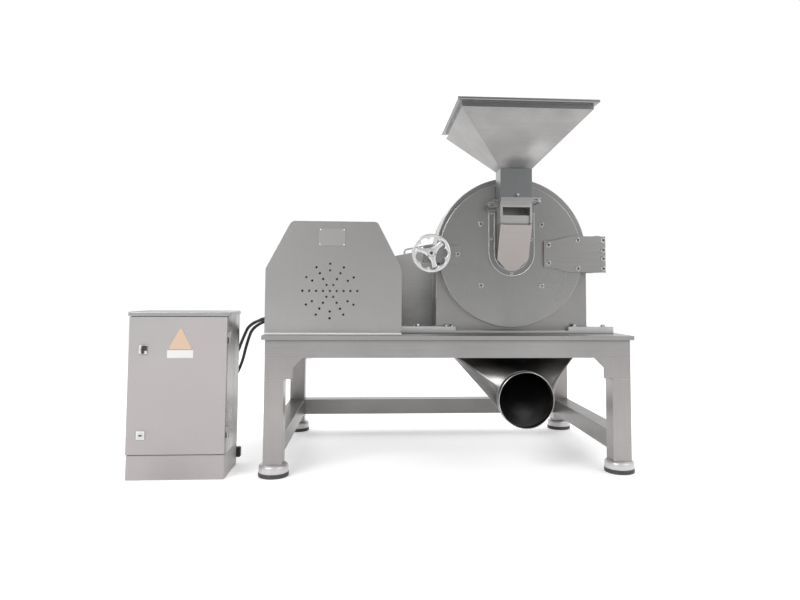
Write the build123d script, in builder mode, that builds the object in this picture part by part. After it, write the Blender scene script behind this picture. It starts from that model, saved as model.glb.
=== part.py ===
"""Hammer mill on a steel table, with a belt drive, a front feed hopper and a control cabinet.

Millimetres, +Z up. X runs along the table, the mill's door faces -Y, and the table stands on z = 0.
The origin is under the middle of the whole set. Shaft axes run along Y.
"""

import math
import os

from build123d import *

os.makedirs("parts", exist_ok=True)

# ---- Places shared by several pieces
table_x = 267.5  # middle of the table
front_y = -389.5  # front edge of the table top
sheet = 2.0
running = 0.05  # radial clearance of a shaft in its bore
moving_gap = 0.4  # between bodies that move past each other

# Table
table_length = 1600.0
table_depth = 1000.0
top_z = 590.0
top_thickness = 18.0
tube = 80.0
tube_wall = 3.0
tube_inset = 14.0
apron_height = 77.0
rail_low_z = 95.0
foot_radius = 64.0
foot_cap_height = 34.0
foot_pad_height = 18.0
apron_top = top_z - top_thickness
apron_low = apron_top - apron_height
foot_height = foot_cap_height + foot_pad_height
leg_dx = table_length / 2 - tube_inset - tube / 2
leg_front = front_y + tube_inset + tube / 2
leg_back = front_y + table_depth - tube_inset - tube / 2

# Mill
casing_radius = 347.0
casing_shift = 17.0
casing_rise = 13.0
mill_x = table_x + 285
casing_x = mill_x + casing_shift
casing_wall = 8.0
casing_front = front_y + 175
casing_back = front_y + 385
base_thickness = 14.0
base_z = top_z + base_thickness
mill_z = base_z + casing_radius - 6
casing_z = mill_z + casing_rise
base_front = front_y + 147
base_back = casing_back + 30
neck_outer = casing_radius - 25
neck_inner = neck_outer - 22
door_radius = neck_outer + 3
door_front = front_y + 110
door_thickness = 16.0
door_back = door_front + door_thickness
seal_thickness = 3.0
neck_front = door_back + seal_thickness + moving_gap
liner_thickness = 22.0
liner_radius = neck_inner - 30
screen_inner = liner_radius - 16
screen_wall = 3.0
screen_rim = 5.0
screen_front = door_back + liner_thickness + moving_gap
back_plate_front = casing_back - casing_wall

# Rotor
shaft_r = 30.0
shaft_front = casing_front + 2
pulley_mid = front_y + 690
shaft_end = pulley_mid + 50
disc_radius = 185.0
disc_thickness = 12.0
disc_gap = 130.0
disc_count = 2
disc_first = front_y + 190
pin_circle = 150.0
pin_r = 10.0
hammer_reach = 86.0
hammer_width = 44.0
side_play = 0.5
spacer_r = 16.0
spacer_length = 5.0

# Drive
motor_x = mill_x - 805
motor_z = 778.0
motor_shaft_r = 21.0
motor_front = front_y + 130
motor_back = front_y + 540
motor_radius = 150.0
rail_height = 28.0
motor_pulley_r = 97.0
mill_pulley_r = 77.0
groove_depth = 12.0
groove_width = 14.0
groove_pitch = 19.0
groove_count = 3
belt_clear = 0.5
pulley_width = 66.0
belt_dx = mill_x - motor_x
belt_dz = mill_z - motor_z
belt_slope = belt_dz / belt_dx

# Discharge
chute_x = mill_x + 40
chute_half = 272.0
trough_x = chute_x - 12
chute_front = front_y + 150
chute_back = front_y + 380
chute_knee_z = 480.0
outlet_r = 120.0
outlet_z = 316.0
outlet_front = front_y + 2
outlet_collar_y = front_y + 40
outlet_wall = 3.0
discharge_half = 248.0

# Feed box, gate, throat and hopper on the door
feed_half = 70.0
feed_front = front_y + 5
feed_top = mill_z + 223
feed_low = mill_z - 74
frame_height = 20.0
throat_low = feed_top + frame_height
throat_top = feed_top + 149
throat_back = front_y + 105
hopper_half = 270.0
hopper_y = front_y + 55
hopper_rim = throat_top + 241
hopper_band = 36.0
rim_r = 7.0
rim_reach = 20.0

# Control cabinet
cabinet_x = table_x - 1140
cabinet_half = 200.0
cabinet_front = front_y + 20
cabinet_back = front_y + 250
plinth_height = 100.0
cabinet_top = 670.0


def across(x, y, z):
    """Sketch plane at y, seen from the front: its axes are X and Z, and -amount goes backwards."""
    return Plane(origin=(x, y, z), x_dir=(1, 0, 0), z_dir=(0, -1, 0))


def save(built, label):
    built.part.label = label
    export_step(built.part, f"parts/{label}.step")


# ---- Table: top plate with the discharge opening, tube frame, legs and feet
with BuildPart() as table_top:
    with Locations((table_x, front_y + table_depth / 2, top_z - top_thickness / 2)):
        Box(table_length, table_depth, top_thickness)
    with Locations((chute_x, (casing_front + casing_back) / 2, top_z - top_thickness / 2)):
        Box(2 * discharge_half, 160, top_thickness, mode=Mode.SUBTRACT)
save(table_top, "table_top")

apron_length = 2 * leg_dx + tube
with BuildPart() as aprons:
    for y in (leg_front, leg_back):
        with Locations((table_x, y, apron_top - apron_height / 2)):
            Box(apron_length, tube, apron_height)
            Box(
                apron_length - 2 * tube_wall,
                tube - 2 * tube_wall,
                apron_height - 2 * tube_wall,
                mode=Mode.SUBTRACT,
            )
save(aprons, "aprons")

# Side rails above and below, open at the ends that meet the aprons and legs, and the back rail
rail_y = (leg_front + leg_back) / 2
rail_length = leg_back - leg_front - tube
back_rail_length = 2 * leg_dx - tube
with BuildPart() as rails:
    for side in (-1, 1):
        with Locations((table_x + side * leg_dx, rail_y, apron_top - apron_height / 2)):
            Box(tube, rail_length, apron_height)
            Box(tube - 2 * tube_wall, rail_length, apron_height - 2 * tube_wall, mode=Mode.SUBTRACT)
        with Locations((table_x + side * leg_dx, rail_y, rail_low_z + tube / 2)):
            Box(tube, rail_length, tube)
            Box(tube - 2 * tube_wall, rail_length, tube - 2 * tube_wall, mode=Mode.SUBTRACT)
    with Locations((table_x, leg_back, rail_low_z + tube / 2)):
        Box(back_rail_length, tube, tube)
        Box(back_rail_length, tube - 2 * tube_wall, tube - 2 * tube_wall, mode=Mode.SUBTRACT)
save(rails, "rails")

# Legs, each with the corner plate that is welded between it and its apron
gusset_height = 88.0
gusset_top = 79.0
gusset_low = 36.0
gusset_thickness = 8.0
leg_height = apron_low - foot_height
with BuildPart() as legs:
    for side in (-1, 1):
        for y in (leg_front, leg_back):
            with Locations((table_x + side * leg_dx, y, foot_height + leg_height / 2)):
                Box(tube, tube, leg_height)
                Box(tube - 2 * tube_wall, tube - 2 * tube_wall, leg_height, mode=Mode.SUBTRACT)
            inner_x = table_x + side * (leg_dx - tube / 2)
            with BuildSketch(across(inner_x, y - tube / 2, apron_low)):
                with BuildLine():
                    Polyline(
                        (0, 0),
                        (-side * gusset_top, 0),
                        (-side * gusset_low, gusset_low - gusset_top),
                        (-side * gusset_low, -gusset_height),
                        (0, -gusset_height),
                        close=True,
                    )
                make_face()
            extrude(amount=-gusset_thickness)
save(legs, "legs")

foot_places = [
    (table_x + side * leg_dx, y) for side in (-1, 1) for y in (leg_front, leg_back)
]
with BuildPart() as foot_pads:
    with BuildSketch(Plane.XY):
        with Locations(*foot_places):
            Circle(foot_radius)
    extrude(amount=foot_pad_height)
save(foot_pads, "foot_pads")

with BuildPart() as foot_caps:
    with BuildSketch(Plane.XY.offset(foot_pad_height)):
        with Locations(*foot_places):
            Circle(foot_radius - 2)
    extrude(amount=foot_cap_height)
    chamfer(foot_caps.faces().sort_by(Axis.Z)[-4:].edges(), length=8)
save(foot_caps, "foot_caps")

# ---- Discharge: collar under the table opening, drawn out into the round outlet at the front
chute_corner_r = 30.0
chute_depth = chute_back - chute_front
with BuildPart() as discharge_chute:
    for inset, round_inset, mode in ((0, 0, Mode.ADD), (sheet, outlet_wall, Mode.SUBTRACT)):
        with BuildSketch(Plane.XY.offset(chute_knee_z)):
            with Locations((trough_x, (chute_front + chute_back) / 2)):
                RectangleRounded(
                    2 * (chute_half - inset), chute_depth - 2 * inset, chute_corner_r - inset
                )
        extrude(amount=apron_top - chute_knee_z, mode=mode)
        with BuildSketch(Plane.XY.offset(chute_knee_z)):
            with Locations((trough_x, (chute_front + chute_back) / 2)):
                RectangleRounded(
                    2 * (chute_half - inset), chute_depth - 2 * inset, chute_corner_r - inset
                )
        with BuildSketch(across(chute_x, outlet_collar_y, outlet_z)):
            Circle(outlet_r - round_inset)
        loft(mode=mode)
save(discharge_chute, "discharge_chute")

with BuildPart() as outlet_pipe:
    with BuildSketch(across(chute_x, outlet_front, outlet_z)):
        Circle(outlet_r)
        Circle(outlet_r - outlet_wall, mode=Mode.SUBTRACT)
    extrude(amount=-(outlet_collar_y - outlet_front))
save(outlet_pipe, "outlet_pipe")

# ---- Mill casing: base plate, arched skin, front ring with the door neck, back plate
base_left = mill_x - casing_radius - 148
base_right = mill_x + casing_radius + 133
bar_depth = 26.0
bar_height = 18.0
with BuildPart() as mill_base:
    with Locations(
        ((base_left + base_right) / 2, (base_front + base_back) / 2, top_z + base_thickness / 2)
    ):
        Box(base_right - base_left, base_back - base_front, base_thickness)
    with Locations((chute_x, (casing_front + casing_back) / 2, top_z + base_thickness / 2)):
        Box(2 * discharge_half, 160, base_thickness, mode=Mode.SUBTRACT)
    for low_x, high_x in ((base_left, mill_x - 245), (mill_x + 271, base_right)):
        with Locations(((low_x + high_x) / 2, base_front + bar_depth / 2, base_z + bar_height / 2)):
            Box(high_x - low_x, bar_depth, bar_height)
save(mill_base, "mill_base")

# The casing's outline is a half-round top with straight sides down to the base
skirt = casing_z - base_z
with BuildPart() as casing_skin:
    with BuildSketch(across(casing_x, casing_front + casing_wall, casing_z)):
        Circle(casing_radius)
        with Locations((0, -skirt / 2)):
            Rectangle(2 * casing_radius, skirt)
        with Locations((0, -skirt - casing_radius / 2)):
            Rectangle(2 * casing_radius, casing_radius, mode=Mode.SUBTRACT)
    extrude(amount=-(casing_back - casing_front - 2 * casing_wall))
    with BuildSketch(across(casing_x, casing_front + casing_wall, casing_z)):
        Circle(casing_radius - casing_wall)
        with Locations((0, -skirt / 2)):
            Rectangle(2 * (casing_radius - casing_wall), skirt)
    extrude(amount=-(casing_back - casing_front - 2 * casing_wall), mode=Mode.SUBTRACT)
save(casing_skin, "casing_skin")

with BuildPart() as casing_ring:
    with BuildSketch(across(casing_x, casing_front, casing_z)):
        Circle(casing_radius)
        with Locations((0, -skirt / 2)):
            Rectangle(2 * casing_radius, skirt)
        with Locations((0, -skirt - casing_radius / 2)):
            Rectangle(2 * casing_radius, casing_radius, mode=Mode.SUBTRACT)
    extrude(amount=-casing_wall)
    with BuildSketch(across(mill_x, neck_front, mill_z)):
        Circle(neck_outer)
    extrude(amount=-(casing_front - neck_front))
    with BuildSketch(across(mill_x, neck_front, mill_z)):
        Circle(neck_inner)
    extrude(amount=-(casing_front - neck_front + casing_wall), mode=Mode.SUBTRACT)
save(casing_ring, "casing_ring")

housing_inner = 55.0
with BuildPart() as back_plate:
    with BuildSketch(across(casing_x, back_plate_front, casing_z)):
        Circle(casing_radius)
        with Locations((0, -skirt / 2)):
            Rectangle(2 * casing_radius, skirt)
        with Locations((0, -skirt - casing_radius / 2)):
            Rectangle(2 * casing_radius, casing_radius, mode=Mode.SUBTRACT)
        with Locations((-casing_shift, -casing_rise)):
            Circle(shaft_r + 1, mode=Mode.SUBTRACT)
    extrude(amount=-casing_wall)
save(back_plate, "back_plate")

# ---- Ring screen: slotted sheet between two rims, inside the casing
slot_count = 40
slot_rows = 3
slot_width = 8.0
screen_length = back_plate_front - screen_front
slot_length = screen_length / slot_rows - 16
with BuildPart() as ring_screen:
    with BuildSketch(across(mill_x, screen_front, mill_z)):
        Circle(screen_inner + screen_wall)
        Circle(screen_inner, mode=Mode.SUBTRACT)
    extrude(amount=-screen_length)
    for y in (screen_front, back_plate_front - 12):
        with BuildSketch(across(mill_x, y, mill_z)):
            Circle(screen_inner + screen_wall + screen_rim)
            Circle(screen_inner, mode=Mode.SUBTRACT)
        extrude(amount=-12)
    for row in range(slot_rows):
        slot_y = screen_front + (row + 0.5) * screen_length / slot_rows
        with Locations(Plane(origin=(mill_x, slot_y, mill_z), z_dir=(0, -1, 0), x_dir=(1, 0, 0))):
            with PolarLocations(screen_inner + screen_wall / 2, slot_count):
                Box(4 * screen_wall, slot_width, slot_length, mode=Mode.SUBTRACT)
save(ring_screen, "ring_screen")

# ---- Bearing housing behind the back plate, cast with its pedestal, and the two bearings
housing_outer = 72.0
housing_end = front_y + 595
flange_r = 125.0
flange_thickness = 15.0
bearing_width = 31.0
pedestal_y = front_y + 515
pedestal_length = 90.0
pedestal_foot = 16.0
with BuildPart() as bearing_housing:
    with Locations((mill_x, pedestal_y, top_z + pedestal_foot / 2)):
        Box(240, pedestal_length, pedestal_foot)
    with Locations((mill_x, pedestal_y, (top_z + mill_z) / 2)):
        Box(120, pedestal_length, mill_z - top_z)
    with BuildSketch(across(mill_x, casing_back, mill_z)):
        Circle(flange_r)
    extrude(amount=-flange_thickness)
    with BuildSketch(across(mill_x, casing_back, mill_z)):
        Circle(housing_outer)
    extrude(amount=-(housing_end - casing_back))
    with BuildSketch(across(mill_x, casing_back, mill_z)):
        Circle(housing_inner)
    extrude(amount=-(housing_end - casing_back), mode=Mode.SUBTRACT)
save(bearing_housing, "bearing_housing")

with BuildPart() as bearings:
    for y in (casing_back + flange_thickness + 5, housing_end - bearing_width - 8):
        with BuildSketch(across(mill_x, y, mill_z)):
            Circle(housing_inner)
            Circle(shaft_r + running, mode=Mode.SUBTRACT)
        extrude(amount=-bearing_width)
save(bearings, "bearings")

# Bolts of the base, the bearing housing's flange and the pedestal's foot
with BuildPart() as frame_bolts:
    for bar_top, y, radius, places in (
        (
            base_z + bar_height,
            base_front + bar_depth / 2,
            11,
            (base_left + 80, base_right - 180, base_right - 45),
        ),
        (base_z + bar_height, base_front + bar_depth / 2, 7, (mill_x - 287, mill_x - 261)),
        (base_z, base_back - 15, 11, (base_left + 80, base_right - 45)),
        (top_z + pedestal_foot, pedestal_y, 11, (mill_x - 90, mill_x + 90)),
    ):
        with BuildSketch(Plane.XY.offset(bar_top)):
            with Locations(*[(x, y) for x in places]):
                RegularPolygon(radius=radius, side_count=6)
        extrude(amount=0.85 * radius)
    with BuildSketch(across(mill_x, casing_back + flange_thickness, mill_z)):
        with PolarLocations((flange_r + housing_outer) / 2, 6):
            RegularPolygon(radius=10, side_count=6)
    extrude(amount=-9)
save(frame_bolts, "frame_bolts")

# ---- Rotor: shaft, two discs on a hub, four hammer pins with collars and the driven pulley
with BuildPart() as rotor_shaft:
    with BuildSketch(across(mill_x, shaft_front, mill_z)):
        Circle(shaft_r)
    extrude(amount=-(shaft_end - shaft_front))
    chamfer(rotor_shaft.edges().filter_by(GeomType.CIRCLE), length=2)
save(rotor_shaft, "rotor_shaft")

disc_pitch = disc_thickness + disc_gap
hub_r = 45.0
with BuildPart() as rotor_discs:
    for index in range(disc_count):
        with BuildSketch(across(mill_x, disc_first + index * disc_pitch, mill_z)):
            Circle(disc_radius)
            with PolarLocations(pin_circle, 4, start_angle=45):
                Circle(pin_r, mode=Mode.SUBTRACT)
        extrude(amount=-disc_thickness)
    with BuildSketch(across(mill_x, disc_first, mill_z)):
        Circle(hub_r)
    extrude(amount=-(disc_pitch + disc_thickness))
    with BuildSketch(across(mill_x, disc_first, mill_z)):
        Circle(shaft_r)
    extrude(amount=-(disc_pitch + disc_thickness), mode=Mode.SUBTRACT)
save(rotor_discs, "rotor_discs")

# Hammer pins through both discs, with a collar at each end of the gap to centre the hammer
pin_over = 6.0
gap_start = disc_first + disc_thickness
with BuildPart() as hammer_pins:
    with BuildSketch(across(mill_x, disc_first - pin_over, mill_z)):
        with PolarLocations(pin_circle, 4, start_angle=45):
            Circle(pin_r)
    extrude(amount=-(disc_pitch + disc_thickness + 2 * pin_over))
    for y in (gap_start, gap_start + disc_gap - spacer_length):
        with BuildSketch(across(mill_x, y, mill_z)):
            with PolarLocations(pin_circle, 4, start_angle=45):
                Circle(spacer_r)
        extrude(amount=-spacer_length)
save(hammer_pins, "hammer_pins")

# Four swing hammers, hanging straight down from their pins
hammer_length = disc_gap - 2 * (spacer_length + side_play)
for letter, angle in (("a", 45), ("b", 135), ("c", 225), ("d", 315)):
    pin_x = mill_x + pin_circle * math.cos(math.radians(angle))
    pin_z = mill_z + pin_circle * math.sin(math.radians(angle))
    with BuildPart() as hammer:
        with BuildSketch(across(pin_x, gap_start + spacer_length + side_play, pin_z)):
            Circle(hammer_width / 2)
            with Locations((0, -hammer_reach / 2)):
                Rectangle(hammer_width, hammer_reach)
            Circle(pin_r + running, mode=Mode.SUBTRACT)
        extrude(amount=-hammer_length)
    save(hammer, f"hammer_{letter}")

# Grooved pulleys of the mill and the motor, both centred on the belts' middle plane
for label, x, z, radius, bore in (
    ("mill_pulley", mill_x, mill_z, mill_pulley_r, shaft_r),
    ("motor_pulley", motor_x, motor_z, motor_pulley_r, motor_shaft_r),
):
    with BuildPart() as pulley:
        with BuildSketch(across(x, pulley_mid - pulley_width / 2, z)):
            Circle(radius)
            Circle(bore, mode=Mode.SUBTRACT)
        extrude(amount=-pulley_width)
        for index in range(groove_count):
            y = pulley_mid + (index - (groove_count - 1) / 2) * groove_pitch - groove_width / 2
            with BuildSketch(across(x, y, z)):
                Circle(radius)
                Circle(radius - groove_depth, mode=Mode.SUBTRACT)
            extrude(amount=-groove_width, mode=Mode.SUBTRACT)
    save(pulley, label)

# ---- Belts: three endless loops in the grooves of both pulleys
with BuildPart() as v_belts:
    for index in range(groove_count):
        y = pulley_mid + (index - (groove_count - 1) / 2) * groove_pitch
        y -= groove_width / 2 - belt_clear
        for depth, mode in ((1.0, Mode.ADD), (groove_depth - belt_clear, Mode.SUBTRACT)):
            with BuildSketch(across(motor_x, y, motor_z)):
                Circle(motor_pulley_r - depth)
                with Locations((belt_dx, belt_dz)):
                    Circle(mill_pulley_r - depth)
                make_hull()
            extrude(amount=-(groove_width - 2 * belt_clear), mode=mode)
save(v_belts, "v_belts")

# ---- Motor with its terminal box on two rails, and its shaft with the fan
cowl_depth = 42.0
fan_radius = 120.0
with BuildPart() as motor_body:
    with BuildSketch(across(motor_x, motor_front, motor_z)):
        Circle(motor_radius - 14)
        with PolarLocations(motor_radius - 10, 24):
            Rectangle(20, 5)
    extrude(amount=-(motor_back - motor_front))
    with BuildSketch(across(motor_x, motor_front - cowl_depth, motor_z)):
        Circle(motor_radius)
        Circle(motor_radius - 4, mode=Mode.SUBTRACT)
    extrude(amount=-(cowl_depth + 12))
    with BuildSketch(across(motor_x, motor_front + 60, motor_z)):
        for side in (-1, 1):
            with Locations((side * 127, -(motor_z - top_z - rail_height) + 9)):
                Rectangle(80, 18)
            with Locations((side * 112, -110)):
                Rectangle(22, 90)
    extrude(amount=-280)
    with BuildSketch(across(motor_x, motor_front - cowl_depth, motor_z)):
        Circle(motor_shaft_r + running)
    extrude(amount=-(motor_back - motor_front + cowl_depth), mode=Mode.SUBTRACT)
    with Locations((motor_x, motor_front + 200, motor_z + motor_radius + 30)):
        Box(140, 150, 110)
save(motor_body, "motor_body")

with BuildPart() as motor_rails:
    for y in (motor_front + 85, motor_front + 315):
        with Locations((motor_x, y, top_z + rail_height / 2)):
            Box(420, 60, rail_height)
save(motor_rails, "motor_rails")

with BuildPart() as motor_shaft:
    with BuildSketch(across(motor_x, motor_front - 30, motor_z)):
        Circle(motor_shaft_r)
    extrude(amount=-(pulley_mid + pulley_width / 2 + 6 - motor_front + 30))
    chamfer(motor_shaft.edges().filter_by(GeomType.CIRCLE), length=1.5)
    with BuildSketch(across(motor_x, motor_front - 28, motor_z)):
        Circle(34)
        with PolarLocations((30 + fan_radius) / 2, 8):
            Rectangle(fan_radius - 30, 5)
    extrude(amount=-20)
save(motor_shaft, "motor_shaft")

# ---- Motor cover: folded sheet hood with a star of vents in its front, open underneath
cover_x = motor_x + 17
cover_half = 293.0
cover_top_half = 186.0
cover_shoulder = 873.0
cover_top = 1080.0
cover_front = front_y + 52
cover_back = front_y + 600
fold_r = 24.0
vent_r = 4.8
vent_step = 29.4
shaft_way = 60.0


def hood(grow):
    """Corners of the hood's outline, from its left foot over the top to its right foot."""
    half, top_half = cover_half + grow, cover_top_half + grow * 0.8
    return [
        (-half, 0),
        (-half, cover_shoulder - top_z),
        (-top_half, cover_top + grow - top_z),
        (top_half, cover_top + grow - top_z),
        (half, cover_shoulder - top_z),
        (half, 0),
    ]


with BuildPart() as motor_cover:
    for grow, mode in ((0, Mode.ADD), (-sheet, Mode.SUBTRACT)):
        corners = hood(grow)
        with BuildSketch(across(cover_x, cover_front - grow, top_z)):
            with BuildLine():
                FilletPolyline(*corners, radius=fold_r + grow)
                Line(corners[-1], corners[0])
            make_face()
        extrude(amount=-(cover_back - cover_front + 2 * grow), mode=mode)
    vents = [(0.0, 0.0)]
    for ray in range(12):
        heading = math.radians(30 * ray)
        for step in (1, 2, 3, 4) if ray % 2 == 0 else (3, 4):
            vents.append(
                (step * vent_step * math.cos(heading), step * vent_step * math.sin(heading))
            )
    with BuildSketch(across(motor_x, cover_front, motor_z)):
        with Locations(*vents):
            Circle(vent_r)
    extrude(amount=-sheet, mode=Mode.SUBTRACT)
    with BuildSketch(across(motor_x, cover_back - sheet, motor_z)):
        Circle(shaft_way)
    extrude(amount=-sheet, mode=Mode.SUBTRACT)
save(motor_cover, "motor_cover")

plate_x = motor_x + 7
plate_z = cover_top - 69
with BuildPart() as rating_blank:
    with BuildSketch(across(plate_x, cover_front, plate_z)):
        Rectangle(112, 75)
    extrude(amount=1.5)
    with BuildSketch(across(plate_x, cover_front - 1.5, plate_z)):
        with GridLocations(102, 64, 2, 2):
            Circle(2.4)
    extrude(amount=1.2)
save(rating_blank, "rating_blank")

# ---- Belt guard: a deep pan over both pulleys, its back cover and a lifting handle
guard_front = front_y + 634
guard_back = front_y + 752
guard_left = motor_x - 150
guard_right = mill_x + 140
guard_rise = 125.6


def guard_outline(grow):
    """Corners of the guard about the motor shaft, its top edge parallel to the belts."""
    left, right = guard_left - motor_x - grow, guard_right - motor_x + grow
    low = top_z - motor_z
    return [
        (left, low),
        (left, left * belt_slope + guard_rise + grow),
        (right, right * belt_slope + guard_rise + grow),
        (right, low),
    ]


with BuildPart() as belt_guard:
    with BuildSketch(across(motor_x, guard_front, motor_z)):
        with BuildLine():
            Polyline(*guard_outline(0), close=True)
        make_face()
    extrude(amount=-(guard_back - guard_front))
    with BuildSketch(across(motor_x, guard_front + sheet, motor_z)):
        with BuildLine():
            Polyline(*guard_outline(-sheet), close=True)
        make_face()
    extrude(amount=-(guard_back - guard_front), mode=Mode.SUBTRACT)
    with BuildSketch(across(motor_x, guard_front, motor_z)):
        Circle(shaft_way)
        with Locations((belt_dx, belt_dz)):
            Circle(shaft_way)
    extrude(amount=-sheet, mode=Mode.SUBTRACT)

# Lifting handle welded to the guard's top
handle_r = 5.0
handle_rise = 26.0
handle_y = (guard_front + guard_back) / 2
handle_feet = [
    (x, handle_y, motor_z + (x - motor_x) * belt_slope + guard_rise - sheet)
    for x in (mill_x - 450, mill_x - 270)
]
handle_tops = [(x, y, z + handle_rise + sheet) for x, y, z in handle_feet]
with belt_guard:
    with BuildLine():
        FilletPolyline(handle_feet[0], *handle_tops, handle_feet[1], radius=12)
    with BuildSketch(Plane(origin=handle_feet[0], z_dir=(0, 0, 1))):
        Circle(handle_r)
    sweep()
save(belt_guard, "belt_guard")

with BuildPart() as guard_cover:
    with BuildSketch(across(motor_x, guard_back, motor_z)):
        with BuildLine():
            Polyline(*guard_outline(0), close=True)
        make_face()
    extrude(amount=-sheet)
save(guard_cover, "guard_cover")

# ---- Door: round plate with the feed opening, its seal and the fixed liner behind it
feed_hole_half = 62.0
feed_hole_low = mill_z - 40
feed_hole_top = mill_z + 115


feed_hole_size = (
    2 * feed_hole_half,
    2 * (door_thickness + liner_thickness),
    feed_hole_top - feed_hole_low,
)
feed_hole_middle = (mill_x, door_back, (feed_hole_low + feed_hole_top) / 2)
with BuildPart() as door_plate:
    with BuildSketch(across(mill_x, door_front, mill_z)):
        Circle(door_radius)
    extrude(amount=-door_thickness)
    chamfer(door_plate.faces().sort_by(Axis.Y)[0].edges(), length=1.5)
    with Locations(feed_hole_middle):
        Box(*feed_hole_size, mode=Mode.SUBTRACT)
save(door_plate, "door_plate")

with BuildPart() as door_seal:
    with BuildSketch(across(mill_x, door_back, mill_z)):
        Circle(neck_outer - 6)
        Circle(neck_inner + 4, mode=Mode.SUBTRACT)
    extrude(amount=-seal_thickness)
save(door_seal, "door_seal")

rib_height = 6.0
with BuildPart() as door_liner:
    with BuildSketch(across(mill_x, door_back, mill_z)):
        Circle(liner_radius)
    extrude(amount=-(liner_thickness - rib_height))
    with BuildSketch(across(mill_x, door_back + liner_thickness - rib_height, mill_z)):
        Circle(liner_radius)
        Circle(screen_inner - 6, mode=Mode.SUBTRACT)
        with PolarLocations(212, 18):
            Rectangle(60, 16)
    extrude(amount=-rib_height)
    with Locations(feed_hole_middle):
        Box(*feed_hole_size, mode=Mode.SUBTRACT)
save(door_liner, "door_liner")

# ---- Hinge at the door's right: strap with its barrel, and the casing's two knuckles with the pin
hinge_x = mill_x + casing_radius + 58
hinge_y = front_y + 145
hinge_z = mill_z + 5
strap_left = mill_x + door_radius - 179
strap_right = hinge_x + 25
strap_thickness = 12.0
strap_half = 82.0
strap_tip_half = 58.0
strap_waist = mill_x + door_radius - 60
barrel_r = 18.0
barrel_half = 45.0
hinge_pin_r = 10.0
with BuildPart() as hinge_strap:
    with BuildSketch(across(0, door_front, hinge_z)):
        with BuildLine():
            Polyline(
                (strap_left, -strap_tip_half),
                (strap_left, strap_tip_half),
                (strap_left + 40, strap_tip_half + 4),
                (strap_waist, strap_half),
                (strap_right, strap_half),
                (strap_right, -strap_half),
                (strap_waist, -strap_half),
                (strap_left + 40, -strap_tip_half - 4),
                close=True,
            )
        make_face()
    extrude(amount=strap_thickness)
    chamfer(hinge_strap.faces().sort_by(Axis.Y)[0].edges(), length=1.5)
    with BuildSketch(Plane.XY.offset(hinge_z - barrel_half)):
        with Locations((hinge_x, hinge_y)):
            Circle(barrel_r)
        with Locations((hinge_x, (hinge_y + door_front) / 2)):
            Rectangle(2 * barrel_r - 6, hinge_y - door_front)
        with Locations((hinge_x, hinge_y)):
            Circle(hinge_pin_r + running, mode=Mode.SUBTRACT)
    extrude(amount=2 * barrel_half)
save(hinge_strap, "hinge_strap")

casing_right = casing_x + casing_radius
knuckle_height = 36.0
arm_low_y = hinge_y + 2
with BuildPart() as hinge_bracket:
    for low_z in (hinge_z - barrel_half - moving_gap - knuckle_height, hinge_z + barrel_half + moving_gap):
        with BuildSketch(Plane.XY.offset(low_z)):
            with Locations((hinge_x, hinge_y)):
                Circle(barrel_r)
            with BuildLine():
                Polyline(
                    (casing_right, casing_front + 12),
                    (casing_right, casing_front + 75),
                    (casing_right + 22, casing_front + 75),
                    (hinge_x + 15, hinge_y + 12),
                    (hinge_x, arm_low_y),
                    close=True,
                )
            make_face()
        extrude(amount=knuckle_height)
    plate_height = 2 * (barrel_half + moving_gap + knuckle_height)
    with Locations((casing_right + 6, casing_front + 45, hinge_z)):
        Box(12, 60, plate_height)
    with BuildSketch(Plane.XY.offset(hinge_z - plate_height / 2)):
        with Locations((hinge_x, hinge_y)):
            Circle(hinge_pin_r)
    extrude(amount=plate_height)
    with BuildSketch(Plane.XY.offset(hinge_z + plate_height / 2)):
        with Locations((hinge_x, hinge_y)):
            Circle(hinge_pin_r + 5)
    extrude(amount=6)
save(hinge_bracket, "hinge_bracket")

# ---- Clamp at the door's left: lug, screw block on the casing, washer and handwheel with its screw
wheel_x = mill_x - casing_radius - 21
wheel_z = mill_z
lug_right = mill_x - door_radius + 91
lug_left = wheel_x - 30
lug_half = 38.0
lug_thickness = 14.0
screw_r = 8.0
lug_front = door_front - lug_thickness
with BuildPart() as clamp_lug:
    with BuildSketch(across(0, door_front, wheel_z)):
        with Locations(((lug_left + lug_right) / 2, 0)):
            RectangleRounded(lug_right - lug_left, 2 * lug_half, 10)
        with Locations((wheel_x, 0)):
            Circle(screw_r + running, mode=Mode.SUBTRACT)
    extrude(amount=lug_thickness)
save(clamp_lug, "clamp_lug")

# The block's hole is wide enough for the screw to leave it on the door's arc
block_front = door_back + 26
block_hole_clear = 1.4
screw_depth = 16.0
casing_left = casing_x - casing_radius
with BuildPart() as screw_block:
    with BuildSketch(across(0, block_front, wheel_z)):
        with Locations(((wheel_x - 26 + casing_left) / 2, 0)):
            Rectangle(casing_left - wheel_x + 26, 60)
    extrude(amount=-70)
    with BuildSketch(across(wheel_x, block_front, wheel_z)):
        Circle(screw_r + block_hole_clear)
    extrude(amount=-30, mode=Mode.SUBTRACT)
save(screw_block, "screw_block")

washer_thickness = 5.0
washer_r = 24.0
with BuildPart() as clamp_washer:
    with BuildSketch(across(wheel_x, lug_front - moving_gap, wheel_z)):
        Circle(washer_r)
        Circle(screw_r + running, mode=Mode.SUBTRACT)
    extrude(amount=washer_thickness)
save(clamp_washer, "clamp_washer")

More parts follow.
